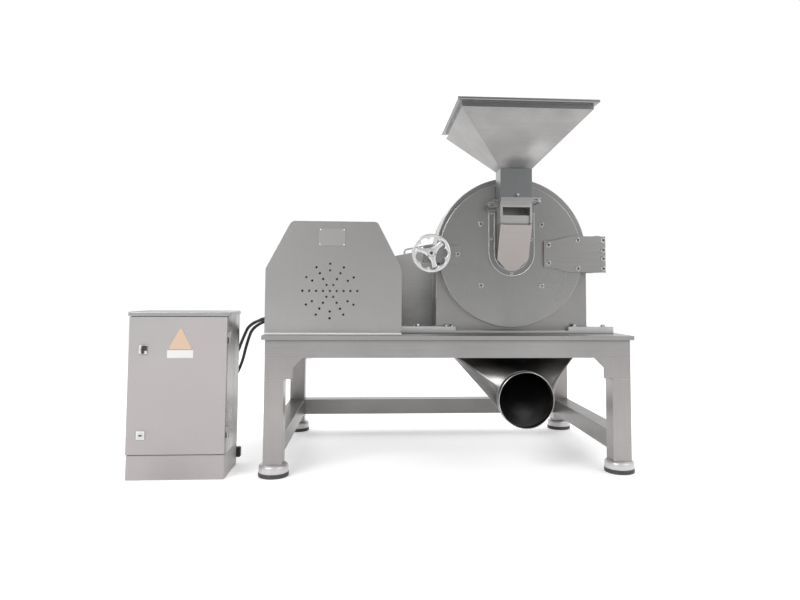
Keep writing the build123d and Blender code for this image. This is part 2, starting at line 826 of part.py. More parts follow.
wheel_r = 85.0
rim_width = 17.0
wheel_thickness = 16.0
hub_back = lug_front - moving_gap - washer_thickness - moving_gap
wheel_back = front_y + 47
scallop_r = 17.0
with BuildPart() as handwheel:
    with BuildSketch(across(wheel_x, wheel_back, wheel_z)):
        Circle(wheel_r)
        Circle(wheel_r - rim_width - 4, mode=Mode.SUBTRACT)
        with PolarLocations(wheel_r - rim_width - scallop_r + 7, 9, start_angle=45 + 20):
            Circle(scallop_r, mode=Mode.SUBTRACT)
        with PolarLocations(wheel_r / 2 - 4, 3, start_angle=45):
            Rectangle(wheel_r - 10, 17)
        Circle(19)
    extrude(amount=wheel_thickness)
    with BuildSketch(across(wheel_x, wheel_back, wheel_z)):
        Circle(17)
    extrude(amount=-(hub_back - wheel_back))
    with BuildSketch(across(wheel_x, wheel_back, wheel_z)):
        Circle(screw_r)
    extrude(amount=-(block_front + screw_depth - wheel_back))
    with BuildSketch(across(wheel_x, wheel_back - wheel_thickness, wheel_z)):
        Circle(4)
    extrude(amount=-6, mode=Mode.SUBTRACT)
save(handwheel, "handwheel")

# ---- Feed box on the door, with the flange that holds it
box_wall = 3.0
slope_top = feed_top - 98
slope_end_y = door_front - 8
window_low = feed_top - 56
window_high = feed_top - 21
feed_corner = 50.0
feed_forms = []
for inset, over in ((0, 0), (box_wall, 1)):
    with BuildPart() as feed_form:
        with BuildSketch(Plane.YZ.offset(mill_x)):
            with BuildLine():
                Polyline(
                    (feed_front + inset, feed_top + over),
                    (feed_front + inset, slope_top),
                    (slope_end_y + inset, feed_low + 2 * inset),
                    (door_front + over, feed_low + 2 * inset),
                    (door_front + over, feed_top + over),
                    close=True,
                )
            make_face()
        extrude(amount=feed_half - inset, both=True)
        for side in (-1, 1):
            edge_x = mill_x + side * (feed_half - inset)
            with BuildSketch(across(edge_x, feed_front, feed_low + 2 * inset)):
                with BuildLine():
                    Polyline((0, 0), (-side * feed_corner, 0), (0, feed_corner), close=True)
                make_face()
            extrude(amount=-(door_front + over - feed_front), mode=Mode.SUBTRACT)
    feed_forms.append(feed_form.part)
with BuildPart() as feed_box:
    add(feed_forms[0])
    add(feed_forms[1], mode=Mode.SUBTRACT)
    with BuildSketch(across(mill_x, feed_front, 0)):
        with Locations((0, (slope_top + window_high) / 2)):
            Rectangle(2 * (feed_half - 10), window_high - slope_top)
    extrude(amount=-box_wall, mode=Mode.SUBTRACT)
    with Locations((mill_x, feed_front + 9.5, (slope_top - 6 + window_low) / 2)):
        Box(2 * feed_half - box_wall, box_wall, window_low - slope_top + 6)

# The flange is a thin plate with a thicker U-shaped strip round its edge
flange_half = 103.0
flange_strip = 25.0
flange_top = feed_top - 2
flange_t = 8.0
flange_z = feed_low + 82
cut_half = feed_half - 2
with feed_box:
    for thickness in (flange_t / 2, flange_t):
        with BuildSketch(across(mill_x, door_front, 0)):
            with Locations((0, flange_z)):
                Circle(flange_half)
            with Locations((0, (flange_z + flange_top) / 2)):
                Rectangle(2 * flange_half, flange_top - flange_z)
            if thickness == flange_t:
                with Locations((0, flange_z)):
                    Circle(flange_half - flange_strip, mode=Mode.SUBTRACT)
                with Locations((0, (flange_z + flange_top) / 2)):
                    Rectangle(
                        2 * (flange_half - flange_strip),
                        flange_top - flange_z,
                        mode=Mode.SUBTRACT,
                    )
            with BuildLine():
                Polyline(
                    (-cut_half, flange_top),
                    (-cut_half, feed_low + feed_corner + 3),
                    (feed_corner - cut_half, feed_low + 3),
                    (cut_half - feed_corner, feed_low + 3),
                    (cut_half, feed_low + feed_corner + 3),
                    (cut_half, flange_top),
                    close=True,
                )
            make_face(mode=Mode.SUBTRACT)
        extrude(amount=thickness)
save(feed_box, "feed_box")

# ---- Throat on its gate frame, tied to the door by an angle; the sliding gate and its thumb screw
frame_front = front_y - 12
frame_back = door_front - 1
slot_low = feed_top + 4
slot_height = 4.0
gate_opening = feed_half - 6
gate_open_front = feed_front + 6
gate_open_back = throat_back - 6
gate_screw_x = mill_x + 3
gate_screw_y = front_y - 4
thumb_r = 3.0
throat_depth = throat_back - feed_front
with BuildPart() as throat:
    with Locations((mill_x, (frame_front + frame_back) / 2, feed_top + frame_height / 2)):
        Box(2 * feed_half, frame_back - frame_front, frame_height)
    with Locations(
        (mill_x, (gate_open_front + gate_open_back) / 2, feed_top + frame_height / 2)
    ):
        Box(2 * gate_opening, gate_open_back - gate_open_front, frame_height, mode=Mode.SUBTRACT)
    with Locations((mill_x + 4, (frame_front + 3 + throat_back) / 2, slot_low + slot_height / 2)):
        Box(2 * feed_half, throat_back - frame_front - 3, slot_height, mode=Mode.SUBTRACT)
    with BuildSketch(Plane.XY.offset(slot_low + slot_height)):
        with Locations((gate_screw_x, gate_screw_y)):
            Circle(thumb_r + running)
    extrude(amount=frame_height, mode=Mode.SUBTRACT)
    with Locations((mill_x, (feed_front + throat_back) / 2, (throat_low + throat_top) / 2)):
        Box(2 * feed_half, throat_depth, throat_top - throat_low)
        Box(
            2 * (feed_half - box_wall),
            throat_depth - 2 * box_wall,
            throat_top - throat_low,
            mode=Mode.SUBTRACT,
        )
    with Locations((mill_x - feed_half - 22, door_front - 30, feed_top + 3)):
        Box(44, 58, 6)
    with Locations((mill_x - feed_half - 22, door_front - flange_t - 3, feed_top - 14)):
        Box(44, 6, 28)
save(throat, "throat")

gate_left = mill_x - feed_half + 5
gate_right = mill_x + 106
gate_thickness = slot_height - 2 * moving_gap
lip = 24.0
with BuildPart() as gate_plate:
    with Locations(
        (
            (gate_left + gate_right) / 2,
            (frame_front + 3 + throat_back) / 2,
            slot_low + slot_height / 2,
        )
    ):
        Box(gate_right - gate_left, throat_back - frame_front - 3 - 1, gate_thickness)
    with Locations((gate_right - 1.6, (frame_front + 3 + throat_back) / 2, slot_low + lip / 2 - 4)):
        Box(gate_thickness, throat_back - frame_front - 24, lip)
save(gate_plate, "gate_plate")

with BuildPart() as thumb_screw:
    with BuildSketch(Plane.XY.offset(slot_low + slot_height + 0.1)):
        with Locations((gate_screw_x, gate_screw_y)):
            Circle(thumb_r)
    extrude(amount=26)
    with BuildSketch(Plane.XY.offset(slot_low + slot_height + 20)):
        with Locations((gate_screw_x, gate_screw_y)):
            RegularPolygon(radius=8, side_count=8)
    extrude(amount=8)
save(thumb_screw, "thumb_screw")

# ---- Hopper: four-sided funnel, an upright band and the rolled rim around its mouth
band_low = hopper_rim - hopper_band
throat_y = (feed_front + throat_back) / 2
with BuildPart() as hopper:
    for inset, mode in ((0, Mode.ADD), (sheet, Mode.SUBTRACT)):
        with BuildSketch(Plane.XY.offset(throat_top)):
            with Locations((mill_x, throat_y)):
                Rectangle(2 * (feed_half - inset), throat_depth - 2 * inset)
        with BuildSketch(Plane.XY.offset(band_low)):
            with Locations((mill_x, hopper_y)):
                Rectangle(2 * (hopper_half - inset), 2 * (hopper_half - inset))
        loft(mode=mode)
        with BuildSketch(Plane.XY.offset(band_low)):
            with Locations((mill_x, hopper_y)):
                Rectangle(2 * (hopper_half - inset), 2 * (hopper_half - inset))
        extrude(amount=hopper_band, mode=mode)
    for side in (-1, 1):
        rim_middle = side * (hopper_half + rim_reach / 2)
        with Locations((mill_x + rim_middle, hopper_y, hopper_rim - rim_r)):
            Box(rim_reach, 2 * (hopper_half + rim_reach), 2 * rim_r)
        with Locations((mill_x, hopper_y + rim_middle, hopper_rim - rim_r)):
            Box(2 * (hopper_half + rim_reach), rim_reach, 2 * rim_r)
    rim_edges = hopper.edges().group_by(Axis.Z)[-1] + hopper.edges().filter_by_position(
        Axis.Z, hopper_rim - 2 * rim_r, hopper_rim - 2 * rim_r
    )
    outside = [e for e in rim_edges if e.length > 2 * hopper_half + rim_reach]
    fillet(outside, rim_r - 1)
save(hopper, "hopper")

# ---- Screws on the door: liner, hinge strap, feed flange and lug
liner_half = 138.0
strap_screw_places = [(strap_left + 20, -41), (strap_left + 20, 41)]
strap_screw_places += [(strap_waist + 36, -64), (strap_waist + 36, 64)]
strap_screw_places += [(hinge_x + 12, z) for z in (-64, -20, 20, 64)]
flange_screw_places = [(-90, 69), (90, 69), (-90, 187), (90, 187), (0, -85)]
with BuildPart() as door_screws:
    with BuildSketch(across(mill_x, door_front, mill_z)):
        with GridLocations(2 * liner_half, 2 * liner_half, 2, 2):
            Circle(12)
    extrude(amount=4)
    with BuildSketch(across(0, door_front - strap_thickness, hinge_z)):
        with Locations(*strap_screw_places):
            Circle(10)
    extrude(amount=10)
    with BuildSketch(across(mill_x, door_front - flange_t, mill_z)):
        with Locations(*flange_screw_places):
            Circle(7)
    extrude(amount=7)
    with BuildSketch(across(lug_right - 11, lug_front, wheel_z)):
        Circle(8)
    extrude(amount=6)
save(door_screws, "door_screws")

# ---- Control cabinet: plinth, folded body, roof, mounting plate with its devices, glands
cabinet_depth = cabinet_back - cabinet_front
with BuildPart() as cabinet_plinth:
    with Locations((cabinet_x, (front_y + 6 + cabinet_back) / 2, plinth_height / 2)):
        Box(2 * cabinet_half - 4, cabinet_back - front_y - 6, plinth_height)
        Box(
            2 * cabinet_half - 4 - 2 * sheet,
            cabinet_back - front_y - 6 - 2 * sheet,
            plinth_height,
            mode=Mode.SUBTRACT,
        )
save(cabinet_plinth, "cabinet_plinth")

cabinet_height = cabinet_top - plinth_height
cabinet_mid = (cabinet_top + plinth_height) / 2
with BuildPart() as cabinet_body:
    with Locations((cabinet_x, (cabinet_front + cabinet_back) / 2, cabinet_mid)):
        Box(2 * cabinet_half, cabinet_depth, cabinet_height)
    with Locations((cabinet_x, (cabinet_front + cabinet_back) / 2 - sheet, cabinet_mid)):
        Box(
            2 * (cabinet_half - sheet),
            cabinet_depth,
            cabinet_height - 2 * sheet,
            mode=Mode.SUBTRACT,
        )

roof_over = 3.0
with BuildPart() as cabinet_roof:
    with Locations((cabinet_x, (front_y - 4 + cabinet_back + 4) / 2, cabinet_top + 9)):
        Box(2 * (cabinet_half + roof_over), cabinet_back - front_y + 8, 18)
    chamfer(cabinet_roof.faces().sort_by(Axis.Z)[-1].edges(), length=3)
save(cabinet_roof, "cabinet_roof")

plate_y = cabinet_back - 20
plate_thickness = 2.5
device_back = plate_y - plate_thickness / 2
with BuildPart() as cabinet_gear:
    with Locations((cabinet_x, plate_y, cabinet_mid)):
        Box(350, plate_thickness, 520)
    for dx in (-150, 150):
        for dz in (-230, 230):
            with Locations((cabinet_x + dx, (plate_y + cabinet_back - sheet) / 2, cabinet_mid + dz)):
                Box(14, cabinet_back - sheet - plate_y, 14)
    with Locations((cabinet_x - 60, device_back - 65, cabinet_mid + 90)):
        Box(150, 130, 250)
    for dx in (60, 125):
        with Locations((cabinet_x + dx, device_back - 40, cabinet_mid + 130)):
            Box(50, 80, 85)
    with Locations((cabinet_x, device_back - 4, cabinet_mid - 150)):
        Box(300, 8, 36)
    for index in range(12):
        with Locations((cabinet_x - 110 + 20 * index, device_back - 28, cabinet_mid - 150)):
            Box(12, 40, 52)
save(cabinet_gear, "cabinet_gear")

# ---- Cabinet door with its hinges on the right, blank labels and two quarter-turn locks
leaf_front = front_y
leaf_depth = 18.0
leaf_low = plinth_height + 4
leaf_high = cabinet_top - 3
leaf_half = cabinet_half - 1
with BuildPart() as cabinet_leaf:
    with Locations((cabinet_x, leaf_front + leaf_depth / 2, (leaf_low + leaf_high) / 2)):
        Box(2 * leaf_half, leaf_depth, leaf_high - leaf_low)
    with Locations(
        (cabinet_x, leaf_front + leaf_depth / 2 + sheet, (leaf_low + leaf_high) / 2)
    ):
        Box(
            2 * (leaf_half - sheet),
            leaf_depth,
            leaf_high - leaf_low - 2 * sheet,
            mode=Mode.SUBTRACT,
        )
    lock_x = cabinet_x - 140
    upper_lock_z = cabinet_top - 139
    lower_lock_z = plinth_height + 82
    lock_r = 11.0
    with BuildSketch(across(lock_x, leaf_front, 0)):
        with Locations((0, upper_lock_z), (0, lower_lock_z)):
            Circle(lock_r + running)
    extrude(amount=-sheet, mode=Mode.SUBTRACT)

leaf_hinge_x = cabinet_x + cabinet_half + 7
leaf_hinge_y = leaf_front + 19
leaf_hinge_r = 6.0
hinge_heights = (plinth_height + 90, cabinet_top - 90)
leaf_right = cabinet_x + leaf_half
with cabinet_leaf:
    for z in hinge_heights:
        with BuildSketch(Plane.XY.offset(z)):
            with Locations((leaf_hinge_x, leaf_hinge_y)):
                Circle(leaf_hinge_r)
            with Locations(((leaf_right + leaf_hinge_x) / 2, leaf_hinge_y - 7)):
                Rectangle(leaf_hinge_x - leaf_right, 6)
            with Locations((leaf_hinge_x - 2, leaf_hinge_y - 5)):
                Rectangle(4, 8)
            with Locations((leaf_hinge_x, leaf_hinge_y)):
                Circle(3 + running, mode=Mode.SUBTRACT)
        extrude(amount=24)
save(cabinet_leaf, "cabinet_leaf")

with cabinet_body:
    for z in hinge_heights:
        with BuildSketch(Plane.XY.offset(z - 24 - moving_gap)):
            with Locations((leaf_hinge_x, leaf_hinge_y)):
                Circle(leaf_hinge_r)
            with Locations(((cabinet_x + cabinet_half + leaf_hinge_x) / 2, leaf_hinge_y + 14)):
                Rectangle(leaf_hinge_x - cabinet_x - cabinet_half, 20)
            with Locations((leaf_hinge_x - 2, leaf_hinge_y + 5)):
                Rectangle(4, 8)
        extrude(amount=24)
        with BuildSketch(Plane.XY.offset(z - 10)):
            with Locations((leaf_hinge_x, leaf_hinge_y)):
                Circle(3)
        extrude(amount=36)
save(cabinet_body, "cabinet_body")

label_x = cabinet_x + 10
label_thickness = 0.8
with BuildPart() as blank_labels:
    with BuildSketch(across(label_x, leaf_front, cabinet_top - 157)):
        Rectangle(106, 32)
    with BuildSketch(across(label_x, leaf_front, cabinet_top - 91)):
        Polygon((-49, -45), (49, -45), (0, 45))
    extrude(amount=label_thickness)
save(blank_labels, "blank_labels")

for label, z in (("upper_lock", upper_lock_z), ("lower_lock", lower_lock_z)):
    with BuildPart() as lock:
        with BuildSketch(across(lock_x, leaf_front + sheet + moving_gap, z)):
            Circle(lock_r)
        extrude(amount=sheet + moving_gap + 3)
        with BuildSketch(across(lock_x, leaf_front - moving_gap, z)):
            RectangleRounded(30, 26, 4)
        extrude(amount=3)
        with BuildSketch(across(lock_x, leaf_front - 3 - moving_gap, z)):
            Rectangle(12, 2.5)
        extrude(amount=-2, mode=Mode.SUBTRACT)
        with BuildSketch(across(lock_x, leaf_front + sheet + moving_gap, z)):
            with Locations((2, 0)):
                Rectangle(40, 12)
        extrude(amount=-3)
    save(lock, label)

# ---- Cables from the motor cover to the back of the cabinet, with a gland at each end
cable_r = 7.0
gland_length = 26.0
side_x = cover_x - cover_half
upper_route = [
    (side_x - gland_length, front_y + 300, 650),
    (cabinet_x + 240, front_y + 301, 634),
    (cabinet_x + 198, front_y + 338, 552),
    (cabinet_x + 160, front_y + 383, 466),
    (cabinet_x + 92, front_y + 405, 404),
    (cabinet_x + 28, front_y + 365, 375),
    (cabinet_x + 9, cabinet_back + gland_length, 366),
]
lower_route = [
    (side_x - gland_length, front_y + 336, 640),
    (cabinet_x + 247, front_y + 337, 618),
    (cabinet_x + 212, front_y + 366, 528),
    (cabinet_x + 182, front_y + 410, 424),
    (cabinet_x + 134, front_y + 432, 340),
    (cabinet_x + 82, front_y + 388, 300),
    (cabinet_x + 67, cabinet_back + gland_length, 290),
]


def bend_radii(route):
    """Bend radii that use 45 % of the shorter run on each side of every corner."""
    radii = []
    for a, b, c in zip(route, route[1:], route[2:]):
        into, out = Vector(*b) - Vector(*a), Vector(*c) - Vector(*b)
        half_turn = math.radians(into.get_angle(out)) / 2
        radii.append(0.45 * min(into.length, out.length) / math.tan(half_turn))
    return radii


cords = []
for label, route in (("upper_cable", upper_route), ("lower_cable", lower_route)):
    with BuildPart() as cord:
        with BuildLine() as path:
            FilletPolyline(*route, radius=bend_radii(route))
        with BuildSketch(Plane(origin=route[0], z_dir=Vector(*route[1]) - Vector(*route[0]))):
            Circle(cable_r)
        sweep()
    length = sum(edge.length for edge in path.edges())
    print(label, "length", round(length), "radii", [round(r) for r in bend_radii(route)])
    print("  volume share", round(cord.part.volume / (math.pi * cable_r**2 * length), 4))
    save(cord, label)
    cords.append(cord.part)

with BuildPart() as cable_glands:
    for route, z_dir in ((upper_route, (0, 1, 0)), (lower_route, (0, 1, 0))):
        end = route[-1]
        with BuildSketch(Plane(origin=(end[0], cabinet_back, end[2]), z_dir=z_dir)):
            RegularPolygon(radius=15, side_count=6)
        extrude(amount=gland_length)
    for route in (upper_route, lower_route):
        start = route[0]
        with BuildSketch(Plane(origin=(side_x, start[1], start[2]), z_dir=(-1, 0, 0))):
            RegularPolygon(radius=15, side_count=6)
        extrude(amount=gland_length)
    for cord_part in cords:
        add(cord_part, mode=Mode.SUBTRACT)
    with Locations((cabinet_x + 198, cabinet_back + 15, plinth_height / 2)):
        Box(34, 30, 44)
save(cable_glands, "cable_glands")
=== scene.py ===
"""Hammer mill on a steel table with its belt drive, front hopper, discharge chute and cabinet.

Metres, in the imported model's frame. The pieces follow one another as the set is put together.
"""

import math

import bmesh
import bpy
from mathutils import Matrix, Vector


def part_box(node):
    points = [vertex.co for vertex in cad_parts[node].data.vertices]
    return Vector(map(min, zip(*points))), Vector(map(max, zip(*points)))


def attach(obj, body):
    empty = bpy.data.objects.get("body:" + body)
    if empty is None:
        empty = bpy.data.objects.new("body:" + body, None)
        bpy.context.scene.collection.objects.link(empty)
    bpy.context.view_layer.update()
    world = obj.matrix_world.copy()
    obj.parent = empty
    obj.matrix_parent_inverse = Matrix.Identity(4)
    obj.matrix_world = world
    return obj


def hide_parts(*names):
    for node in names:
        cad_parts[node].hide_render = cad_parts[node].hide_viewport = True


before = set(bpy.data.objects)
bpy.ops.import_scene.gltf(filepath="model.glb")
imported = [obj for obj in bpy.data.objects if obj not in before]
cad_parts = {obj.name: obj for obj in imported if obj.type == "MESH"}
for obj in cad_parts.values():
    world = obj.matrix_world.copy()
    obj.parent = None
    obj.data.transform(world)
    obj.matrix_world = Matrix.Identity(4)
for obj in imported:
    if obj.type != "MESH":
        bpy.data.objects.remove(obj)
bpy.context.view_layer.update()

# ---- Camera
# The camera stands a little left of the mill, at the height of the table's top, and looks slightly
# up and to the right. Its shift only sets the framing.
camera_heading, camera_rise, camera_roll = 0.0635, 0.0634, -0.0058
forward = Vector(
    (
        math.sin(camera_heading) * math.cos(camera_rise),
        math.cos(camera_heading) * math.cos(camera_rise),
        math.sin(camera_rise),
    )
)
level = Vector((math.cos(camera_heading), -math.sin(camera_heading), 0))
upright = level.cross(forward)
right = math.cos(camera_roll) * level - math.sin(camera_roll) * upright
above = math.sin(camera_roll) * level + math.cos(camera_roll) * upright
camera = bpy.data.objects.new("camera", bpy.data.cameras.new("camera"))
camera.data.lens = 28.44
camera.data.shift_x = -0.0131
camera.data.shift_y = -0.0583
camera.matrix_world = Matrix((right, above, -forward)).transposed().to_4x4()
camera.location = (-0.0800, -3.0838, 0.7690)
bpy.context.scene.collection.objects.link(camera)
bpy.context.scene.camera = camera
bpy.context.scene.view_settings.view_transform = "Standard"

# ---- Motor cables
# Two rubber-sheathed cables hang from the motor cover's left side and run round behind the cabinet
# into its back. Each passes a nylon gland with a tapered rubber boot at both ends. A black socket for
# the mains stands low on the same side of the cabinet.
cable_radius = 0.007


def put(tree, kind, feeds=(), **options):
    """Adds one node, sets its options and feeds its sockets with numbers or with other nodes."""
    made = tree.nodes.new(kind)
    for option, value in options.items():
        setattr(made, option, value)
    for socket, feed in dict(feeds).items():
        if isinstance(feed, bpy.types.Node):
            feed = feed.outputs[0]
        if isinstance(feed, bpy.types.NodeSocket):
            tree.links.new(feed, made.inputs[socket])
        else:
            made.inputs[socket].default_value = feed
    return made


def surface(
    name, tone, rough, metallic=0.0, lines=(90, 90, 90), contrast=0.1, patches=3.0,
    blend=0.5, relief=0.0002, edge=0.0012, painted_shade=0.0, **sockets
):
    """A finish with fine lines or grain, cloudy patches, a little relief, soft edges and painted shade in
    corners and recesses.

    The lines are drawn out along the axis whose number in lines is small.
    """
    material = bpy.data.materials.new(name)
    material.use_nodes = True
    tree = material.node_tree
    tree.nodes.clear()
    place = put(tree, "ShaderNodeTexCoord").outputs["Object"]
    drawn = put(tree, "ShaderNodeMapping", {"Vector": place, "Scale": lines})
    fine = put(
        tree, "ShaderNodeTexNoise", {"Vector": drawn, "Scale": 1.0, "Detail": 4.0, "Roughness": 0.65}
    )
    broad = put(
        tree, "ShaderNodeTexNoise",
        {"Vector": place, "Scale": patches, "Detail": 5.0, "Roughness": 0.55},
    )
    both = put(tree, "ShaderNodeMix", {0: blend, 2: fine, 3: broad})
    spread = put(tree, "ShaderNodeMapRange", {0: both, 1: 0.35, 2: 0.65, 3: 0.0, 4: 1.0})
    dark = [part * (1 - contrast) for part in tone] + [1]
    light = [part * (1 + contrast) for part in tone] + [1]
    colour = put(tree, "ShaderNodeMix", {0: spread, 6: dark, 7: light}, data_type="RGBA").outputs[2]
    # Painted shade: ambient occlusion within the given distance darkens the colour in corners and recesses.
    if painted_shade:
        open_air = put(tree, "ShaderNodeAmbientOcclusion", {"Distance": painted_shade}, samples=8).outputs["AO"]
        shade = put(tree, "ShaderNodeMapRange", {0: open_air, 1: 0.25, 2: 0.85, 3: 0.0, 4: 1.0})
        black = [part * 0.12 for part in tone] + [1]
        colour = put(tree, "ShaderNodeMix", {0: shade, 6: black, 7: colour}, data_type="RGBA").outputs[2]
    gloss = put(
        tree, "ShaderNodeMapRange", {0: spread, 3: rough * (1 + contrast), 4: rough * (1 - contrast)}
    )
    soft = put(tree, "ShaderNodeBevel", {"Radius": edge}, samples=4)
    bump = put(
        tree, "ShaderNodeBump", {"Strength": 0.5, "Distance": relief, "Height": fine, "Normal": soft}
    )
    shader = put(
        tree, "ShaderNodeBsdfPrincipled",
        {"Base Color": colour, "Metallic": metallic, "Roughness": gloss, "Normal": bump, **sockets},
    )
    put(tree, "ShaderNodeOutputMaterial", {"Surface": shader})
    return material


cable_rubber = surface("cable_rubber", (0.018, 0.018, 0.020), 0.42, lines=(300, 300, 300), relief=0.0001)

upper_points = [
    (-0.5545, -0.0895, 0.650), (-0.6325, -0.0885, 0.634), (-0.6745, -0.0515, 0.552),
    (-0.7125, -0.0065, 0.466), (-0.7805, 0.0155, 0.404), (-0.8445, -0.0245, 0.375),
    (-0.8635, -0.1135, 0.366),
]
lower_points = [
    (-0.5545, -0.0535, 0.640), (-0.6255, -0.0525, 0.618), (-0.6605, -0.0235, 0.528),
    (-0.6905, 0.0205, 0.424), (-0.7385, 0.0425, 0.340), (-0.7905, -0.0015, 0.300),
    (-0.8055, -0.1135, 0.290),
]


def finished(piece, body, finish, *stands_for):
    """Puts a piece in the scene, on its body, and hides the model's nodes that it stands for. Its finish is
    not used.
    """
    if piece.name not in bpy.context.scene.collection.objects:
        bpy.context.scene.collection.objects.link(piece)
    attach(piece, body)
    if stands_for:
        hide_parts(*stands_for)


for name, points, tube, length in (
    ("upper_cord", upper_points, "upper_cable", 0.535),
    ("lower_cord", lower_points, "lower_cable", 0.569),
):
    line = bpy.data.curves.new(name, "CURVE")
    line.dimensions = "3D"
    run = line.splines.new("NURBS")
    run.points.add(len(points) - 1)
    for knot, point in zip(run.points, points):
        knot.co = (*point, 1)
    run.order_u = 3
    run.use_endpoint_u = True
    line.resolution_u = 16
    line.bevel_depth = cable_radius
    line.bevel_resolution = 5
    line.use_fill_caps = True
    line.materials.append(cable_rubber)
    cord = bpy.data.objects.new(name, line)
    finished(cord, "frame", "cable_black", tube)


def turn(shape, outline, foot, heading, steps=40):
    """Adds a closed turned form to a shape: (height, radius) pairs swept round an axis from foot."""
    axis = Vector(heading).normalized()
    side = axis.orthogonal().normalized()
    other = axis.cross(side)
    rings = []
    for height, radius in outline:
        middle = Vector(foot) + axis * height
        if radius == 0:
            rings.append([shape.verts.new(middle)] * steps)
            continue
        around = [math.tau * index / steps for index in range(steps)]
        rings.append(
            [shape.verts.new(middle + (side * math.cos(a) + other * math.sin(a)) * radius) for a in around]
        )
    for low, high in zip(rings, rings[1:]):
        for index in range(steps):
            after = (index + 1) % steps
            corners = list(dict.fromkeys((low[index], low[after], high[after], high[index])))
            if len(corners) > 2:
                shape.faces.new(corners)


def made(name, shape, material, sharp=35):
    """Closes a shape into an object with outward faces, smooth but for edges over so many degrees."""
    bmesh.ops.recalc_face_normals(shape, faces=shape.faces)
    mesh = bpy.data.meshes.new(name)
    shape.to_mesh(mesh)
    shape.free()
    mesh.shade_smooth()
    mesh.set_sharp_from_angle(angle=math.radians(sharp))
    mesh.materials.append(material)
    return bpy.data.objects.new(name, mesh)


def slab(shape, low, high, round_off=0.001, steps=2):
    """Adds a flat bar between two corners, with its edges rounded off."""
    low, high = Vector(low), Vector(high)
    corners = bmesh.ops.create_cube(shape, size=1.0)["verts"]
    middle, span = (low + high) / 2, high - low
    for corner in corners:
        corner.co = Vector(a * b for a, b in zip(corner.co, span)) + middle
    own = dict.fromkeys(edge for corner in corners for edge in corner.link_edges)
    bmesh.ops.bevel(shape, geom=list(own), offset=round_off, segments=steps, affect="EDGES")


gland_length = 0.026
glands = bmesh.new()
boots = bmesh.new()
for points in (upper_points, lower_points):
    for end, beyond, wall in ((points[0], points[1], (1, 0, 0)), (points[-1], points[-2], (0, -1, 0))):
        foot = Vector(end) + Vector(wall) * gland_length
        away = -Vector(wall)
        turn(glands, [(0, 0), (0, 0.015), (0.009, 0.015), (0.009, 0)], foot, away, steps=6)
        turn(glands, [(0.009, 0), (0.009, 0.0118), (0.013, 0.0118), (0.013, 0)], foot, away)
        turn(glands, [(0.013, 0), (0.013, 0.0145), (0.021, 0.0145), (0.021, 0)], foot, away, steps=6)
        turn(
            glands,
            [(0.021, 0), (0.021, 0.0128), (0.024, 0.0118), (0.0262, 0.0095), (0.0262, 0)],
            foot, away,
        )
        sleeve = [(-0.002, 0), (-0.002, 0.0094)]
        for ring in range(5):
            start, wide = 0.004 + 0.006 * ring, 0.0094 - 0.0003 * ring
            sleeve += [(start, wide), (start + 0.0015, wide - 0.0008), (start + 0.0035, wide - 0.0008)]
        sleeve += [(0.034, 0.0078), (0.034, 0)]
        turn(boots, sleeve, end, Vector(beyond) - Vector(end), steps=24)
socket_low = Vector((-0.6915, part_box("cabinet_body")[1].y + 0.0002, 0.028))
slab(glands, socket_low, socket_low + Vector((0.034, 0.028, 0.044)), 0.003)
gland_nylon = surface("gland_nylon", (0.022, 0.022, 0.024), 0.38, lines=(150, 150, 150))
finished(made("cable_fittings", glands, gland_nylon), "frame", "cable_black", "cable_glands")
finished(made("cable_boots", boots, cable_rubber), "frame", "cable_black")

# ---- Floor and light
# The set stands on a plain pale floor in an evenly lit studio, with a large soft lamp above each
# front corner and a softer one behind.
floor_paint = surface(
    "floor_paint", (0.9, 0.9, 0.9), 0.7, lines=(20, 20, 20), contrast=0.01, relief=0.0,
    **{"Emission Color": (1, 1, 1, 1), "Emission Strength": 0.36},
)
ground = bmesh.new()
bmesh.ops.create_grid(ground, x_segments=8, y_segments=8, size=40)
floor = made("floor", ground, floor_paint)
bpy.context.scene.collection.objects.link(floor)
studio = bpy.data.worlds.new("studio")
studio.use_nodes = True
walls = studio.node_tree
toward = put(walls, "ShaderNodeSeparateXYZ", {0: put(walls, "ShaderNodeTexCoord").outputs["Generated"]})
depth = put(walls, "ShaderNodeMapRange", {0: toward.outputs["Y"], 1: -0.35, 2: 0.45, 3: 0.40, 4: 1.02})
walls.links.new(depth.outputs[0], walls.nodes["Background"].inputs["Strength"])
walls.nodes["Background"].inputs["Color"].default_value = (1, 1, 1, 1)
bpy.context.scene.world = studio
for name, spot, width, power in (
    ("key_lamp", (-2.6, -3.4, 3.4), 2.2, 130),
    ("fill_lamp", (3.4, -2.8, 2.6), 2.6, 60),
    ("back_lamp", (0.4, 3.6, 3.6), 2.6, 60),
):
    lamp = bpy.data.objects.new(name, bpy.data.lights.new(name, "AREA"))
    lamp.data.size = width
    lamp.data.energy = power
    lamp.location = spot
    lamp.rotation_euler = (Vector((0.1, 0, 0.7)) - Vector(spot)).to_track_quat("-Z", "Y").to_euler()
    bpy.context.scene.collection.objects.link(lamp)

# ---- Table
# A folded plate top on welded square tube: two aprons, side rails, legs with a triangular plate at
# each corner and low rails, all stainless steel brushed along each tube. Fine welds run round the legs.


def dress(material, *names):
    """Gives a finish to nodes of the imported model, whose shape stays as it is."""
    for name in names:
        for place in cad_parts[name].material_slots:
            place.material = material


